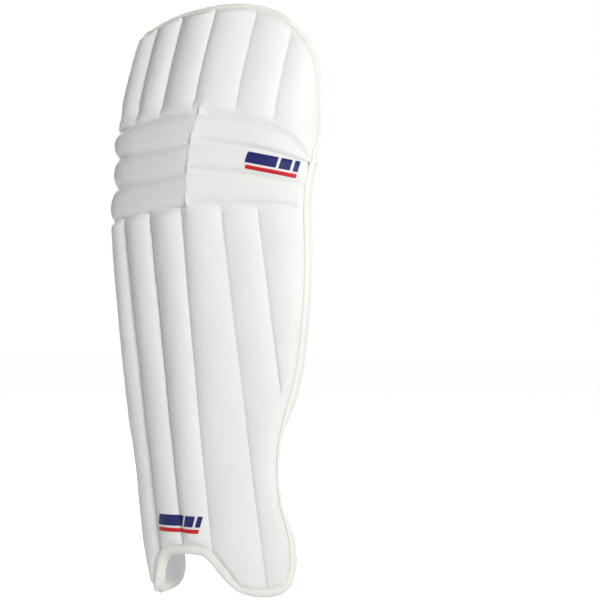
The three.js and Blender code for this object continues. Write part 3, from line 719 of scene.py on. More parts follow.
def bolster(name, side, foot):
    s, t = np.meshgrid(dense(30, 0.45), dense(190, 0.3))
    z = mix(foot, BOLSTER_HEAD, t)
    across = beside_middle(side, table_value(BOLSTER_INNER, z), table_value(BOLSTER_OUTER, z), s)
    rounding = 9 * (smooth(0.965, 1, t) + 1 - smooth(0, 0.03, t)) * np.abs(2 * s - 1) ** 2
    z = z + np.where(t > 0.5, -rounding, rounding)
    depth = 4.5 + 17.5 * pillow(s, t) + 0.5 * soft_noise(across, z, 26, 11)
    depth = depth + 0.3 * soft_noise(across * 1.6, z, 9, 12) * pillow(s, t)
    piece = back_pad(f"bolster_{name}_pad", across, z, depth, "printed")
    from_middle = across * side
    set_uv(piece, "print", from_middle, z - 470 - 52 * smooth(38, 100, from_middle))
    inflate(piece, s.shape, 9, 4)
    assign(piece, SHIN, "printed", f"bolster_{name}", fill=0.8)
    bolster_trim(name, side, foot)


def bolster_trim(name, side, foot):
    """The plain cloth that the bolster's side is made of, pressed down where the ankle strap crosses it."""
    section = [(-0.4, 0.2), (0.1, 5.6), (0.35, 8.2), (0.6, 8.0), (0.85, 5.4), (1, 1.8), (0.9, 0.1)]
    along = np.linspace(0, 1, 240)
    heights = mix(foot + 1, BOLSTER_HEAD - 22, along)
    edge = table_value(BOLSTER_OUTER, heights)
    width = mix(12, 8, smooth(0.1, 0.75, along))
    pressed = 1 - 0.5 * bell(heights - ANKLE_STRAP_HEIGHT, 42)
    rings = [behind(side * (edge + width * share), heights, pressed * depth + 0.25 * np.sin(heights / 5))
             for share, depth in section]
    rings = np.stack(rings[::side], 1)
    trim = tube(f"bolster_{name}_edge", rings, heights, np.linspace(0, 20, len(section)), MATERIALS["trim"])
    assign(trim, SHIN, "trim", f"bolster_trim_{name}")


def panel():
    """The flat panel between the bolsters, wrinkled towards its head."""
    s, t = np.meshgrid(dense(26, 0.4), np.linspace(0, 1, 181))
    z = mix(PANEL_FOOT, PANEL_HEAD, t)
    half = table_value(BOLSTER_INNER, z) - 1.5
    across = mix(-half, half, s)
    to_flat_back = -pad_point(across, z, BEHIND_LINING)[..., 1] / MM
    wrinkles = 1.6 * smooth(420, 455, z) * soft_noise(across * 0.7 + z * 0.3, z * 1.5, 12, 21)
    wrinkles = wrinkles + 0.9 * soft_noise(across, z, 22, 22)
    depth = to_flat_back + wrinkles - 3.5 * np.abs(2 * s - 1) ** 4 - 1.5
    piece = back_pad("shin_panel_pad", across, z, depth, "panel")
    assign(piece, SHIN, "satin", "shin_panel", fill=0.6)


# ---- knee locator ----
# The locator's pleats: (place at the head, lean), as shares of its half width
PLEATS = [(-0.42, -0.22), (0.02, 0.03), (0.44, 0.25)]


def locator_half(z):
    return table_value(LOCATOR_HALF_WIDTH, z)


def locator_depth(s, t, across, z):
    pleats = sum(bell(2 * s - 1 - centre - lean * (1 - t), 0.035) for centre, lean in PLEATS)
    depth = 5 + 17.5 * pillow(s, t, 2.8, 5) - 2.4 * pleats * smooth(0.55, 0.97, t)
    return depth + 0.7 * soft_noise(across, z, 34, 31) + 0.45 * soft_noise(across, z, 13, 32) * (1 - t * 0.5)


def locator():
    s, t = np.meshgrid(dense(64, 0.4), dense(110, 0.4))
    across = np.zeros(s.shape)
    for _ in range(8):
        z = mix(LOCATOR_FOOT, table_value(TOP_EDGE, across) - LOCATOR_BELOW_TOP_EDGE, t)
        across = (2 * s - 1) * locator_half(z)
    piece = back_pad("knee_locator_pad", across, z, locator_depth(s, t, across, z), "satin")
    inflate(piece, s.shape, 6, 4)
    assign(piece, HAT, "satin", "knee_cup", "knee_locator", fill=0.8)
    mark("locator_mark", HAT, (6, 668), -50, 27, on_back_of(piece))

    grid = np.stack([across, z], -1)
    rim = spaced(np.concatenate([grid[:-1, 0], grid[-1], grid[-2::-1, -1]]), 2)
    foot = np.linspace(-43, 43, 60)
    pipe("locator_piping", behind(rim[:, 0], rim[:, 1], 4.2), 1.5)
    pipe("locator_foot_piping", behind(foot, np.full(60, LOCATOR_FOOT + 0.5), 4.6), 0.8)


def pipe(name, points, radius, sides=10):
    """A round cord of blue cloth through points, in metres."""
    tangent = unit(np.gradient(points, axis=0))
    side = unit(np.cross(tangent, [0, 1, 0]))
    up = np.cross(side, tangent)
    rings = [points + radius * MM * (math.cos(a) * side + math.sin(a) * up)
             for a in np.arange(sides) * 2 * math.pi / sides]
    run = lengths_along(points) / MM
    assign(tube(name, np.stack(rings, 1), run, np.linspace(0, 6, sides), MATERIALS["trim"]), HAT, "trim")


def gusset(name, side):
    """The cloth beside the locator's lower part."""
    s, t = np.meshgrid(dense(26, 0.4), dense(34, 0.4))
    z = mix(GUSSET_FOOT, GUSSET_HEAD, t)
    across = beside_middle(side, locator_half(z) - 3, GUSSET_OUTER - 14 * (1 - t) ** 2, s)
    depth = 3 + 9 * pillow(s, t, 3, 4) + 0.5 * soft_noise(across, z, 12, 41)
    piece = back_pad(f"locator_gusset_{name}_pad", across, z, depth, "gusset")
    set_uv(piece, "print", np.abs(across), z)
    assign(piece, SHIN, "printed", f"locator_gusset_{name}", fill=0.6)


# ---- straps ----
# Each strap has axes of its own: x along it towards the wing, y out from the leg, z up, all in millimetres.
WEBBING, WEBBING_WIDTH = 1.6, 58
RING_PITCH, RING_HALF, RING_CORNER = 22, 33, 8.5
TURN_RADIUS, STRAP_HALF_GAP = 4.1, 1.7
STRAP_FACE = STRAP_HALF_GAP + WEBBING / 2
ANCHOR_LENGTH, BEAD_FRONT, BEAD_BACK, BESIDE_EDGE, INSIDE_EDGE = 14, -4.5, -18.5, 12.9, 5
LIVE_HINGE, HINGE_CLEARANCE, CONVERGE, TAIL_GAP = -11, 2.6, 26, 0.4
TAB_LAP = 14  # how far the flap's webbing reaches into the tab

# Rims of the plates on a flap: (how far in from the outline, height above the strap's face)
BADGE_RIM = [(0, 0), (0, 0.9), (0.3, 1.2), (2.0, 1.2), (2.4, 0.85), (3.4, 0.85), (3.8, 1.1), (4.4, 1.1)]
TAB_RIM = [(0, 0), (0, 1.6), (0.6, 2.2), (2.2, 2.4), (2.8, 1.95), (3.8, 1.9), (4.5, 2.3), (5.5, 2.4)]
LABEL_RIM = [(0, 2.3), (0, 2.9), (0.3, 3.1), (1, 3.1)]


class StrapAxes:
    def __init__(self, height):
        levels = np.linspace(height - 0.7 * WEBBING_WIDTH, height + 0.7 * WEBBING_WIDTH, 7)
        left = self.edge(table_value(EDGE_LEFT, levels).min(), height, -1)
        right = self.edge(table_value(EDGE_RIGHT, levels).max(), height, 1)
        line = right - left
        self.span = np.linalg.norm(line)
        self.along = line / self.span
        self.away = np.array([-self.along[1], self.along[0], 0])
        self.origin = right - self.along * (ANCHOR_LENGTH + RING_PITCH)

    @staticmethod
    def edge(across, z, side):
        point, along, front = pad_frame(across, z)
        out = BEAD_BACK - 3 if side > 0 else (BEAD_FRONT + BEAD_BACK) / 2
        return point + front * out - along * (INSIDE_EDGE if side > 0 else BESIDE_EDGE)

    def place(self, x, y, z):
        """Row frame points, in metres, of points on the strap's axes."""
        x, y, z = np.broadcast_arrays(*(np.asarray(v, float)[..., None] for v in (x, y, z)))
        return to_row(self.origin + x * self.along + y * self.away + z * np.array([0, 0, 1]))


def turn(x, start, end):
    """The way round a ring's bar at x."""
    angles = np.radians(np.linspace(start, end, 19))
    return [(x + TURN_RADIUS * math.cos(a), TURN_RADIUS * math.sin(a)) for a in angles]


def ribbon(name, axes, path, body):
    """Woven webbing along a plan path, with a raised cord near each edge."""
    line = eased(spaced(path, 1.2), 3)
    tangent = unit(np.gradient(line, axis=0))
    normal = np.stack([-tangent[:, 1], tangent[:, 0]], -1)
    half = WEBBING_WIDTH / 2
    across = np.concatenate([[-1, -0.985], np.linspace(-0.96, 0.96, 21), [0.985, 1]]) * half
    thick = WEBBING / 2 * (1 + 0.1 * bell(half - 1.6 - np.abs(across), 1.1))
    thick[[0, -1]] *= 0.3
    thick[[1, -2]] *= 0.78
    sheets = []
    for side in (1, -1):
        x, y = (line[:, None] + side * normal[:, None] * thick[:, None]).transpose(2, 0, 1)
        sheets.append(axes.place(x, y, across).reshape(-1, 3))
    faces = slab_faces(len(line) - 1, len(across) - 1)[:, ::-1]
    obj = new_object(f"{name}_webbing", np.concatenate(sheets), faces, MATERIALS["webbing"], 60)
    set_uv(obj, "pad", lengths_along(line)[:, None], across[None])
    assign(obj, body, "webbing", name)


def anchor(name, axes, x, side):
    """A short loop of webbing from the pad's edge round a ring's outer bar."""
    half_turn = turn(x, 270, 90) if side > 0 else turn(x, -90, 90)
    path = [(x + side * ANCHOR_LENGTH, -1), (x + side * 5, -TURN_RADIUS + 0.4), *half_turn,
            (x + side * 5, TURN_RADIUS - 0.4), (x + side * ANCHOR_LENGTH, 1)]
    ribbon(name, axes, path, SHIN)


def ring(name, axes, x, body, sides=16):
    """A moulded rectangular ring: two round bars joined by thicker ends."""
    bars = rounded_outline(x, -RING_HALF, x + RING_PITCH, RING_HALF, RING_CORNER, RING_CORNER, 10)
    outline = spaced_loop(bars, 1.5)[:-1]
    tangent = unit(np.roll(outline, -1, 0) - np.roll(outline, 1, 0))
    outward = np.stack([tangent[:, 1], -tangent[:, 0]], -1)
    ends = smooth(22, 31, np.abs(outline[:, 1]))
    rings = []
    for angle in -np.arange(sides) * 2 * math.pi / sides:
        across, up = (outline + outward * mix(2.4, 3.0, ends)[:, None] * math.cos(angle)).T
        rings.append(axes.place(across, mix(2.4, 2.6, ends) * math.sin(angle), up))
    faces = ring_faces(len(outline), sides, closed=True)
    obj = new_object(f"{name}_moulded", np.stack(rings, 1).reshape(-1, 3), faces, MATERIALS["ring"], 60)
    assign(obj, body, "ring", name)


def plate(name, axes, corners, rim, body, slot, *replaced):
    """A plate on a flap, with rounded corners."""
    x0, z0, x1, z1, left, right = corners
    plans = np.stack([rounded_outline(x0 + inset, z0 + inset, x1 - inset, z1 - inset, max(left - inset, 0.4),
                                      max(right - inset, 0.4)) for inset, _ in rim])
    heights = STRAP_FACE + np.array(rim)[:, 1:]
    rings = axes.place(plans[..., 0], heights, plans[..., 1])
    obj = new_object(name, rings.reshape(-1, 3), ring_faces(*plans.shape[:2]), MATERIALS[slot], 40)
    set_uv(obj, "pad", plans[..., 0], plans[..., 1])
    assign(obj, body, slot, *replaced)


def strap(prefix, height, ring_body, two_rings, badge, tab, tab_radius, label):
    """A strap with its rings and anchors, and the flap that folds back over it.

    The badge, the tab and the label are (start, end) along the flap."""
    axes = StrapAxes(height)
    ring(f"{prefix}_ring_right", axes, 0, ring_body)
    anchor(f"{prefix}_anchor_right", axes, RING_PITCH, 1)
    sewn_end = ANCHOR_LENGTH + RING_PITCH - axes.span
    start = [(sewn_end - 1, -STRAP_HALF_GAP)]
    if two_rings:
        far_bar = sewn_end + ANCHOR_LENGTH + RING_PITCH
        ring(f"{prefix}_ring_left", axes, far_bar - RING_PITCH, f"{prefix}_ring_left")
        anchor(f"{prefix}_anchor_left", axes, far_bar - RING_PITCH, -1)
        tail = -STRAP_HALF_GAP - WEBBING - TAIL_GAP
        start = [(far_bar + 32, tail), (far_bar + 20, tail), (far_bar + 5, -TURN_RADIUS),
                 *turn(far_bar, 270, 90), (far_bar + 4, TURN_RADIUS - 0.2), (far_bar + 18, -STRAP_HALF_GAP)]
    fold = [(-CONVERGE, -STRAP_HALF_GAP), (-6, -TURN_RADIUS), *turn(0, -90, 90),
            (LIVE_HINGE + HINGE_CLEARANCE, TURN_RADIUS - 0.6)]
    ribbon(f"{prefix}_strap", axes, start + fold, f"{prefix}_strap")
    flap = [(LIVE_HINGE + 2.2, TURN_RADIUS - 0.7), (-CONVERGE, STRAP_HALF_GAP),
            (tab[1] - TAB_LAP, STRAP_HALF_GAP)]
    ribbon(f"{prefix}_flap", axes, flap, f"{prefix}_flap")
    flap_fittings(prefix, axes, badge, tab, tab_radius, label)


def flap_fittings(prefix, axes, badge, tab, tab_radius, label):
    """The printed badge, and the stitched tab with its label, on a flap."""
    body, half = f"{prefix}_flap", WEBBING_WIDTH / 2
    start, end = badge
    corners = (start, -half + 6, end, half - 6, 3, 3)
    plate(f"{prefix}_badge_patch", axes, corners, BADGE_RIM, body, "badge", f"{prefix}_badge")
    mark(f"{prefix}_badge", body, ((start + end) / 2, 0), (start - end) * 0.40, 12,
         lambda a, b, height: axes.place(a, STRAP_FACE + 1.05 + height, b))

    start, end = tab
    corners = (start, -half - 2, end, half + 2, tab_radius, 2.5)
    plate(f"{prefix}_tab_rubber", axes, corners, TAB_RIM, body, "tab", f"{prefix}_tab")
    line = rounded_outline(start + 3.3, -half + 1.3, end - 3.3, half - 1.3, tab_radius - 3.2, 1)
    x, z = spaced_loop(line, 1).T
    thread = stitches(f"{prefix}_tab_stitches", axes.place(x, STRAP_FACE + 2.0, z),
                      np.tile(axes.away, (len(x), 1)), 2.3, 1.0, 0.34, "red_thread")
    assign(thread, body, "tab")

    start, end = label
    corners = (start, -18, end, 18, 0.8, 0.8)
    plate(f"{prefix}_tab_label_patch", axes, corners, LABEL_RIM, body, "badge", f"{prefix}_tab_label")
    mark(f"{prefix}_label", body, (0, (start + end) / 2), 13.5, (end - start) * 0.3,
         lambda a, b, height: axes.place(b, STRAP_FACE + 3.05 + height, a))


# ---- marks ----
# A generic mark: three leaning blue blocks, each narrower than the last, over a red bar. Each is (start, end,
# low, high), in shares of half the mark's width and height.
MARK = {
    "bar": [(-0.94, 0.9, -0.8, -0.42)],
    "blocks": [(-1.0, 0.12, -0.2, 0.85), (0.22, 0.62, -0.2, 0.85), (0.72, 0.9, -0.2, 0.85)],
}
MARK_LEAN = 0.11


def mark(prefix, body, centre, half_width, half_height, place, *replaced, tilt=0.0):
    """The mark, on the surface that place() gives. Where that faces the other way, half_width is negative,
    so that the mark reads the same way."""
    for kind, blocks in MARK.items():
        quads = []
        for start, end, low, high in blocks:
            x, y = np.array([(start, low), (end, low), (end, high), (start, high)]).T
            across = centre[0] + half_width * (x + MARK_LEAN * y)
            quads.append(np.stack([across, centre[1] + half_height * y + tilt * x * half_width], -1))
        piece = patches(f"{prefix}_{kind}", quads, place, MATERIALS[f"print_{kind}"])
        assign(piece, body, "emblem", *(replaced if kind == "blocks" else ()))


def patches(name, quads, place, material, rows=8, columns=40):
    """Thin raised shapes that follow a surface, from quads in the plane that place() takes."""
    u, v = np.meshgrid(np.linspace(0, 1, columns + 1), np.linspace(0, 1, rows + 1))
    u, v = u[..., None], v[..., None]
    points, faces = [], []
    for p00, p10, p11, p01 in quads:
        flat = (1 - u) * (1 - v) * p00 + u * (1 - v) * p10 + u * v * p11 + (1 - u) * v * p01
        faces.extend(slab_faces(rows, columns) + len(points))
        for height in (0.5, -0.1):
            points.extend(place(flat[..., 0], flat[..., 1], np.full(flat.shape[:2], height)).reshape(-1, 3))
    return new_object(name, points, faces, material, 40)


def on_back_of(piece):
    """Places points on the back of a finished piece, by their distance across and height."""
    mesh = piece.data
    tree = BVHTree.FromPolygons([v.co for v in mesh.vertices], [p.vertices for p in mesh.polygons])

    def place(across, z, height):
        start = behind(across, z, 60)
        points = []
        for point, above in zip(start.reshape(-1, 3), height.ravel()):
            hit, normal, _, _ = tree.ray_cast(Vector(point), Vector((0, -1, 0)))
            points.append(hit + normal * above * MM)
        return np.array(points).reshape(start.shape)
    return place


def on_middle_roll(across, z, height):
    return pad_point(across, z, roll_out(across, z, SEAMS[1], SEAMS[2]) + height)


def on_instep(across, z, height):
    depth, _ = rib_profile(shin_knots(z), across)
    return pad_point(across, z, -depth + softness(across, z) + height)


# ---- materials ----
class Number:
    """A number that varies over a surface, worked out by shader nodes."""

    def __init__(self, material, socket):
        self.material, self.socket = material, socket

    def make(self, operation, *others):
        made = node(self.material, "ShaderNodeMath", operation=operation)
        for slot, value in zip(made.inputs, (self, *others)):
            connect(self.material, value, slot)
        return Number(self.material, made.outputs["Value"])


def operator(operation):
    return lambda number, *others: number.make(operation, *others)


for method, math_operation in {
    "__add__": "ADD", "__sub__": "SUBTRACT", "__mul__": "MULTIPLY", "__mod__": "FLOORED_MODULO",
    "__abs__": "ABSOLUTE", "__lt__": "LESS_THAN", "__gt__": "GREATER_THAN", "larger": "MAXIMUM",
    "smaller": "MINIMUM", "sine": "SINE",
}.items():
    setattr(Number, method, operator(math_operation))


def connect(owner, value, slot):
    """Gives a node's input its value, or a link to what works it out."""
    value = value.socket if isinstance(value, Number) else value
    if isinstance(value, bpy.types.NodeSocket):
        owner.node_tree.links.new(value, slot)
    else:
        slot.default_value = value


def node(owner, kind, **values):
    """A new node of a material or world, with these settings and inputs."""
    made = owner.node_tree.nodes.new(kind)
    for key, value in values.items():
        if key in made.inputs:
            connect(owner, value, made.inputs[key])
        else:
            setattr(made, key, value)
    return made


def new_material(name):
    material = bpy.data.materials.new(name)
    material.use_nodes = True
    return material


def set_shader(material, **values):
    for key, value in values.items():
        connect(material, value, material.node_tree.nodes["Principled BSDF"].inputs[key])


def plan_of(material, layer="pad"):
    """The two coordinates of a UV layer, in millimetres."""
    uv = node(material, "ShaderNodeUVMap", uv_map=layer)
    parts = node(material, "ShaderNodeSeparateXYZ", Vector=uv.outputs["UV"])
    return tuple(Number(material, parts.outputs[axis]) * 1000 for axis in ("X", "Y"))


def paint(material, base, *layers):
    """Base colour, with (mask, colour) layers each over the last."""
    below = (*base, 1)
    for mask, colour in layers:
        made = node(material, "ShaderNodeMix", data_type="RGBA")
        under, over = (slot for slot in made.inputs if slot.type == "RGBA")
        connect(material, mask, made.inputs[0])
        connect(material, below, under)
        connect(material, (*colour, 1), over)
        below = next(slot for slot in made.outputs if slot.type == "RGBA")
    set_shader(material, **{"Base Color": below})


def noise(material, scale, detail=3, roughness=0.55):
    place = node(material, "ShaderNodeTexCoord")
    made = node(material, "ShaderNodeTexNoise", Scale=scale, Detail=detail, Roughness=roughness,
                Vector=place.outputs["Object"])
    return Number(material, made.outputs["Fac"])


def map_range(owner, value, low, high, to_low, to_high):
    made = node(owner, "ShaderNodeMapRange", **{"From Min": low, "From Max": high, "To Min": to_low,
                                                "To Max": to_high, "Value": value})
    return made.outputs["Result"]


def stretch(value, *limits):
    return Number(value.material, map_range(value.material, value, *limits))


def finish_surface(material, roughness, height, strength=0.2, depth=0.0005, specular=0.35):
    relief = node(material, "ShaderNodeBump", Strength=strength, Distance=depth, Height=height)
    set_shader(material, Roughness=roughness, Normal=relief.outputs["Normal"],
               **{"Specular IOR Level": specular})
    return material


def coated(name, light, dark, grain, roughness, bump, groove_painted_shade=0.0):
    """A soft skin with a fine grain, and painted shade that makes it a little darker in its sewn lines."""
    material = new_material(name)
    layers = [(stretch(noise(material, 9, 5, 0.6), 0.35, 0.75, 0, 1), dark)]
    # Painted shade: where the groove attribute is 1, in the sewn lines, the skin is painted darker than its
    # dark tone.
    if groove_painted_shade:
        groove = node(material, "ShaderNodeAttribute", attribute_name="groove")
        layers.append((groove.outputs["Fac"], tuple(c * (1 - groove_painted_shade) for c in dark)))
    paint(material, light, *layers)
    fine = noise(material, grain, 2)
    place = node(material, "ShaderNodeTexCoord")
    cells = node(material, "ShaderNodeTexVoronoi", Scale=grain * 0.55, Vector=place.outputs["Object"])
    pebbles = fine + Number(material, cells.outputs["Distance"]) + noise(material, 260, 2)
    return finish_surface(material, stretch(fine, 0.3, 0.7, *roughness), pebbles, bump)


def plain(name, colour, roughness, grain=1800, bump=0.1):
    material = new_material(name)
    tone = stretch(noise(material, 30, 3), 0.3, 0.7, 0, 1)
    paint(material, colour, (tone, tuple(c * 0.9 for c in colour)))
    return finish_surface(material, roughness, noise(material, grain, 2), bump, specular=0.4)


def weave(x, y, pitch=1.3):
    return (x * (2 * math.pi / pitch)).sine() * (y * (2 * math.pi / pitch)).sine()


ROYAL_BLUE = (0.012, 0.013, 0.235)
WHITE_CLOTH = (0.80, 0.81, 0.84)
PRINT_RED = (0.62, 0.008, 0.01)
NAVY = (0.012, 0.02, 0.075)
WEBBING_WHITE, WEBBING_SHADE = (0.83, 0.83, 0.82), (0.34, 0.34, 0.36)


def hex_mask(x, z, side, line_width):
    """1 on the lines of a net of hexagons with level tops."""
    h = (1.5 * side, math.sqrt(3) / 2 * side)
    cells = []
    for shift in (0, 1):
        a = (x + h[0] * (1 + shift)) % (2 * h[0]) - h[0]
        b = (z + h[1] * (1 + shift)) % (2 * h[1]) - h[1]
        cells.append(abs(b).larger(abs(a) * (math.sqrt(3) / 2) + abs(b) * 0.5))
    inner = cells[0].smaller(cells[1])
    return stretch(inner, h[1] - line_width / 2 - 0.15, h[1] - line_width / 2 + 0.15, 0, 1)


def printed_cloth():
    """A blue net on white, which ends at an arc near the bolster's head."""
    material = new_material("printed")
    _, rise = plan_of(material, "print")
    x, z = plan_of(material)
    net = hex_mask(x, z, 8.4, 2.0) * (rise < -1.0)
    arc = abs(rise + 0.2) < 0.8
    paint(material, WHITE_CLOTH, (net.larger(arc), ROYAL_BLUE))
    return finish_surface(material, 0.62, weave(x, z), 0.12)


def panel_cloth():
    """Blue chevrons up the middle of a white panel, with a lozenge in every second gap."""
    material = new_material("panel")
    x, z = plan_of(material)
    step = (z + abs(x) * 0.62) % 62
    chevron = (step < 30) * (abs(x) < 21.5)
    inner = (abs(step - 15) < 2.6) * (abs(x) < 14)
    lozenge = abs(x) * 1.1 + abs(z % 62 - 46.5) < 9
    mask = (chevron * (inner * -1 + 1)).larger(lozenge) * (z > 108) * (z < 466)
    paint(material, WHITE_CLOTH, (mask, ROYAL_BLUE))
    return finish_surface(material, 0.6, weave(x, z), 0.12)


def gusset_cloth():
    """A red block beside a white stripe on blue."""
    material = new_material("gusset")
    x, z = plan_of(material, "print")
    slope = (x - 60) * 0.75 + (z * -1 + 575)
    blue = (slope > -8) * (slope < 44)
    white = (slope > 6) * (slope < 14)
    red = (slope > 14) * (slope < 30) * (x > 66)
    paint(material, WHITE_CLOTH, (blue, ROYAL_BLUE), (white, WHITE_CLOTH), (red, PRINT_RED))
    return finish_surface(material, 0.6, weave(x, z), 0.12)


def webbing_cloth():
    """White webbing with a red and a navy line of dashes along each edge."""
    material = new_material("webbing")
    x, z = plan_of(material)
    from_edge = abs(z) * -1 + WEBBING_WIDTH / 2
    weft = (x * (2 * math.pi / 2.1)).sine()
    dashes = weft > -0.75
    red = (abs(from_edge - 5.2) < 1.35) * dashes
    navy = (abs(from_edge - 9.0) < 1.15) * dashes
    warp = (z * (2 * math.pi / 1.4)).sine() * 0.4
    gap = stretch(weft, -1, -0.5, 1, 0) * 0.45
    paint(material, WEBBING_WHITE, (gap, WEBBING_SHADE), (red, PRINT_RED), (navy, NAVY))
    return finish_surface(material, 0.7, weft + warp, 0.55, 0.0007)


# Light and dark colour, scale of the grain, roughness from and to, height of the grain, painted shade in the
# grooves
COATED = {
    "face": ((0.80, 0.80, 0.775), (0.755, 0.755, 0.73), 1500, (0.45, 0.62), 0.16, 0.03),
    "binding": ((0.83, 0.825, 0.77), (0.79, 0.78, 0.72), 2200, (0.42, 0.56), 0.1),
    "lining": ((0.78, 0.785, 0.775), (0.74, 0.745, 0.735), 1600, (0.45, 0.62), 0.16),
    "foam": ((0.62, 0.60, 0.52), (0.55, 0.53, 0.45), 900, (0.85, 0.95), 0.3),
    "satin": ((0.80, 0.81, 0.83), (0.76, 0.77, 0.80), 2400, (0.42, 0.6), 0.08),
    "badge": ((0.85, 0.85, 0.84), (0.81, 0.81, 0.80), 1800, (0.3, 0.42), 0.05),
}
# Colour and roughness, and where they aren't the usual ones, scale and height of the grain
PLAIN = {
    "trim": (ROYAL_BLUE, 0.6),
    "ring": ((0.33, 0.005, 0.016), 0.32, 600, 0.05),
    "tab": ((0.42, 0.02, 0.032), 0.5, 1500, 0.15),
    "thread": ((0.68, 0.63, 0.45), 0.7),
    "red_thread": ((0.30, 0.012, 0.02), 0.7),
    "print_blocks": ((0.010, 0.014, 0.13), 0.45),
    "print_bar": ((0.58, 0.008, 0.016), 0.45),
    "cane": ((0.50, 0.31, 0.13), 0.6, 400, 0.3),
    "hook": ((0.70, 0.70, 0.70), 0.9, 3000, 0.6),
}
MATERIALS = {
    **{name: coated(name, *looks) for name, looks in COATED.items()},
    "printed": printed_cloth(), "panel": panel_cloth(), "gusset": gusset_cloth(), "webbing": webbing_cloth(),
    **{name: plain(name, *looks) for name, looks in PLAIN.items()},
}


# ---- the pieces ----
def kept_cad_pieces():
    """The canes and the hook patches stay as they are in the frame."""
    for name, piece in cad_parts.items():
        for kind in ("cane", "hook"):
            if kind in name:
                piece.data.materials.clear()
                piece.data.materials.append(MATERIALS[kind])


def bindings():
    across, z = shin_outline.T
    on_left = (across < -150) & (z > 62)
    on_right = (across > 100) & (z > 40)
    on_lobes = ~on_left & ~on_right
    on_lobes |= np.roll(on_lobes, 1) | np.roll(on_lobes, -1)
    binding("binding_left", SHIN, shin_outline, on_left, "edge_binding_left")
    binding("binding_right", SHIN, shin_outline, on_right, "edge_binding_right")
    binding("binding_lobes", SHIN, shin_outline, on_lobes, "instep_binding")
    binding("binding_top_hat", HAT, hat_outline, np.ones(len(hat_outline), bool), "top_hat_binding")


def linings():
    across, z = shin_grid(12, 100)
    relief = back_relief(shin_knots(z), across, z)
    lining("lining_shin", SHIN, across, z, relief, shin_outline, "back_lining")
    s, t = np.meshgrid(np.linspace(0, 1, 121), np.linspace(0, 1, 121))
    across = mix(-207, 163, s)
    z = mix(table_value(SEAM_LOWEST, across), table_value(SEAM_TOP, across), t)
    lining("lining_knee", SHIN, across, z, knee_relief(across, z), shin_outline, "knee_lining")
    across, z = hat_grid(12, 50)
    relief = back_relief(hat_knots(z), across, z)
    lining("lining_top_hat", HAT, across, z, relief, hat_outline, "top_hat_lining")


kept_cad_pieces()
shin_face()
for (roll_name, ends), low_seam, high_seam in zip(ROLLS.items(), SEAMS, SEAMS[1:]):
    roll_face(roll_name, low_seam, high_seam, *ends)
hat_face()
bindings()
linings()
bolster("left", -1, 80)
bolster("right", 1, 62)
panel()
locator()
gusset("left", -1)
gusset("right", 1)
strap("calf", CALF_STRAP_HEIGHT, "calf_ring_right", two_rings=True, badge=(-140, -25), tab=(-186, -148),
      tab_radius=14, label=(-177, -155))
strap("ankle", ANKLE_STRAP_HEIGHT, "ankle_ring", two_rings=False, badge=(-111, -24), tab=(-168, -119),
      tab_radius=29, label=(-151, -126))
mark("knee_emblem", SHIN, (116, 550), 36, 13, on_middle_roll, "knee_emblem", tilt=-0.2)
mark("instep_emblem", SHIN, (-19, 88), 37, 13.5, on_instep, "instep_emblem")


# ---- floor, light and camera ----
# Each light's azimuth and rise in degrees, its distance and size in metres, and its power
LIGHTS = {
    "key": (51, 24, 2.6, 0.7, 42),
    "fill": (-35, 20, 2.8, 1.8, 2),
    "key_behind": (225, 30, 2.7, 0.9, 44),
    "fill_behind": (150, 20, 2.8, 1.8, 10),
}
WHITE = (1, 1, 1, 1)


def floor():
    """A pale floor, which the camera sees a little brighter than the lights make it."""
    half, floor_z = 9, cad_bounds[0][2] - 0.004
    points = [(-half, -half, floor_z), (half, -half, floor_z), (half, half, floor_z), (-half, half, floor_z)]
    material = new_material("studio_floor")
    seen = Number(material, node(material, "ShaderNodeLightPath").outputs["Is Camera Ray"])
    set_shader(material, Roughness=0.9, **{"Base Color": (0.9, 0.9, 0.9, 1), "Emission Color": WHITE,
                                           "Emission Strength": seen * 0.7})
    new_object("studio_floor", points, [(0, 1, 2, 3)], material)


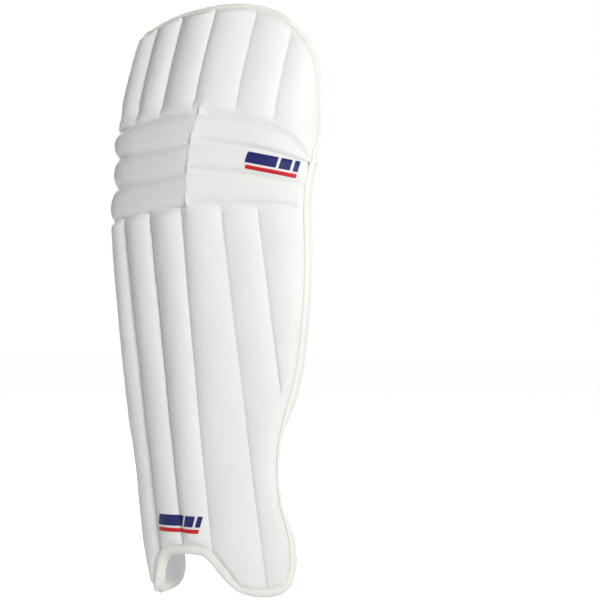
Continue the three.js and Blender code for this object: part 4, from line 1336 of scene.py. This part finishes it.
def surroundings():
    """Soft light from all round, stronger on the wing side. The camera sees plain white."""
    world = bpy.data.worlds.new("studio")
    world.use_nodes = True
    nodes = world.node_tree.nodes
    direction = node(world, "ShaderNodeTexCoord").outputs["Generated"]
    parts = node(world, "ShaderNodeSeparateXYZ", Vector=direction)
    background = nodes["Background"]
    background.inputs["Color"].default_value = (0.97, 0.985, 1, 1)
    connect(world, map_range(world, parts.outputs["X"], -1, 1, 0.2, 0.44), background.inputs["Strength"])
    shown = node(world, "ShaderNodeBackground", Color=WHITE, Strength=1.0)
    camera_ray = node(world, "ShaderNodeLightPath").outputs["Is Camera Ray"]
    choice = node(world, "ShaderNodeMixShader", Fac=camera_ray)
    connect(world, background.outputs["Background"], choice.inputs[1])
    connect(world, shown.outputs["Background"], choice.inputs[2])
    connect(world, choice.outputs["Shader"], nodes["World Output"].inputs["Surface"])
    bpy.context.scene.world = world


def bearing(azimuth, rise=0):
    """The direction from the object towards a place, from degrees round it and up."""
    turned, raised = math.radians(azimuth), math.radians(rise)
    level_part = math.cos(raised)
    return Vector((math.sin(turned) * level_part, -math.cos(turned) * level_part, math.sin(raised)))


def stand(name, data, place, direction):
    """Puts a light or a camera at a place, looking back along a direction."""
    obj = bpy.data.objects.new(name, data)
    obj.location = place
    obj.rotation_euler = (-direction).to_track_quat("-Z", "Y").to_euler()
    bpy.context.collection.objects.link(obj)
    return obj


def lights():
    for name, (azimuth, rise, distance, size, power) in LIGHTS.items():
        data = bpy.data.lights.new(name, "AREA")
        data.size = size
        data.energy = power
        stand(name, data, distance * bearing(azimuth, rise), distance * bearing(azimuth, rise))
    bpy.context.scene.view_settings.view_transform = "Standard"
    bpy.context.scene.view_settings.look = "None"


def camera():
    azimuth, distance, seen_width, sensor = 27, 2.4, 0.773, 36
    pad_left_of_middle, knee_front = 0.1443, Vector((0, -0.03, 0.0737))
    aim = knee_front + pad_left_of_middle * bearing(azimuth + 90)
    data = bpy.data.cameras.new("camera")
    data.sensor_width = sensor
    data.lens = sensor * distance / seen_width
    data.clip_end = 100
    bpy.context.scene.camera = stand("camera", data, aim + distance * bearing(azimuth), bearing(azimuth))


floor()
surroundings()
lights()
camera()
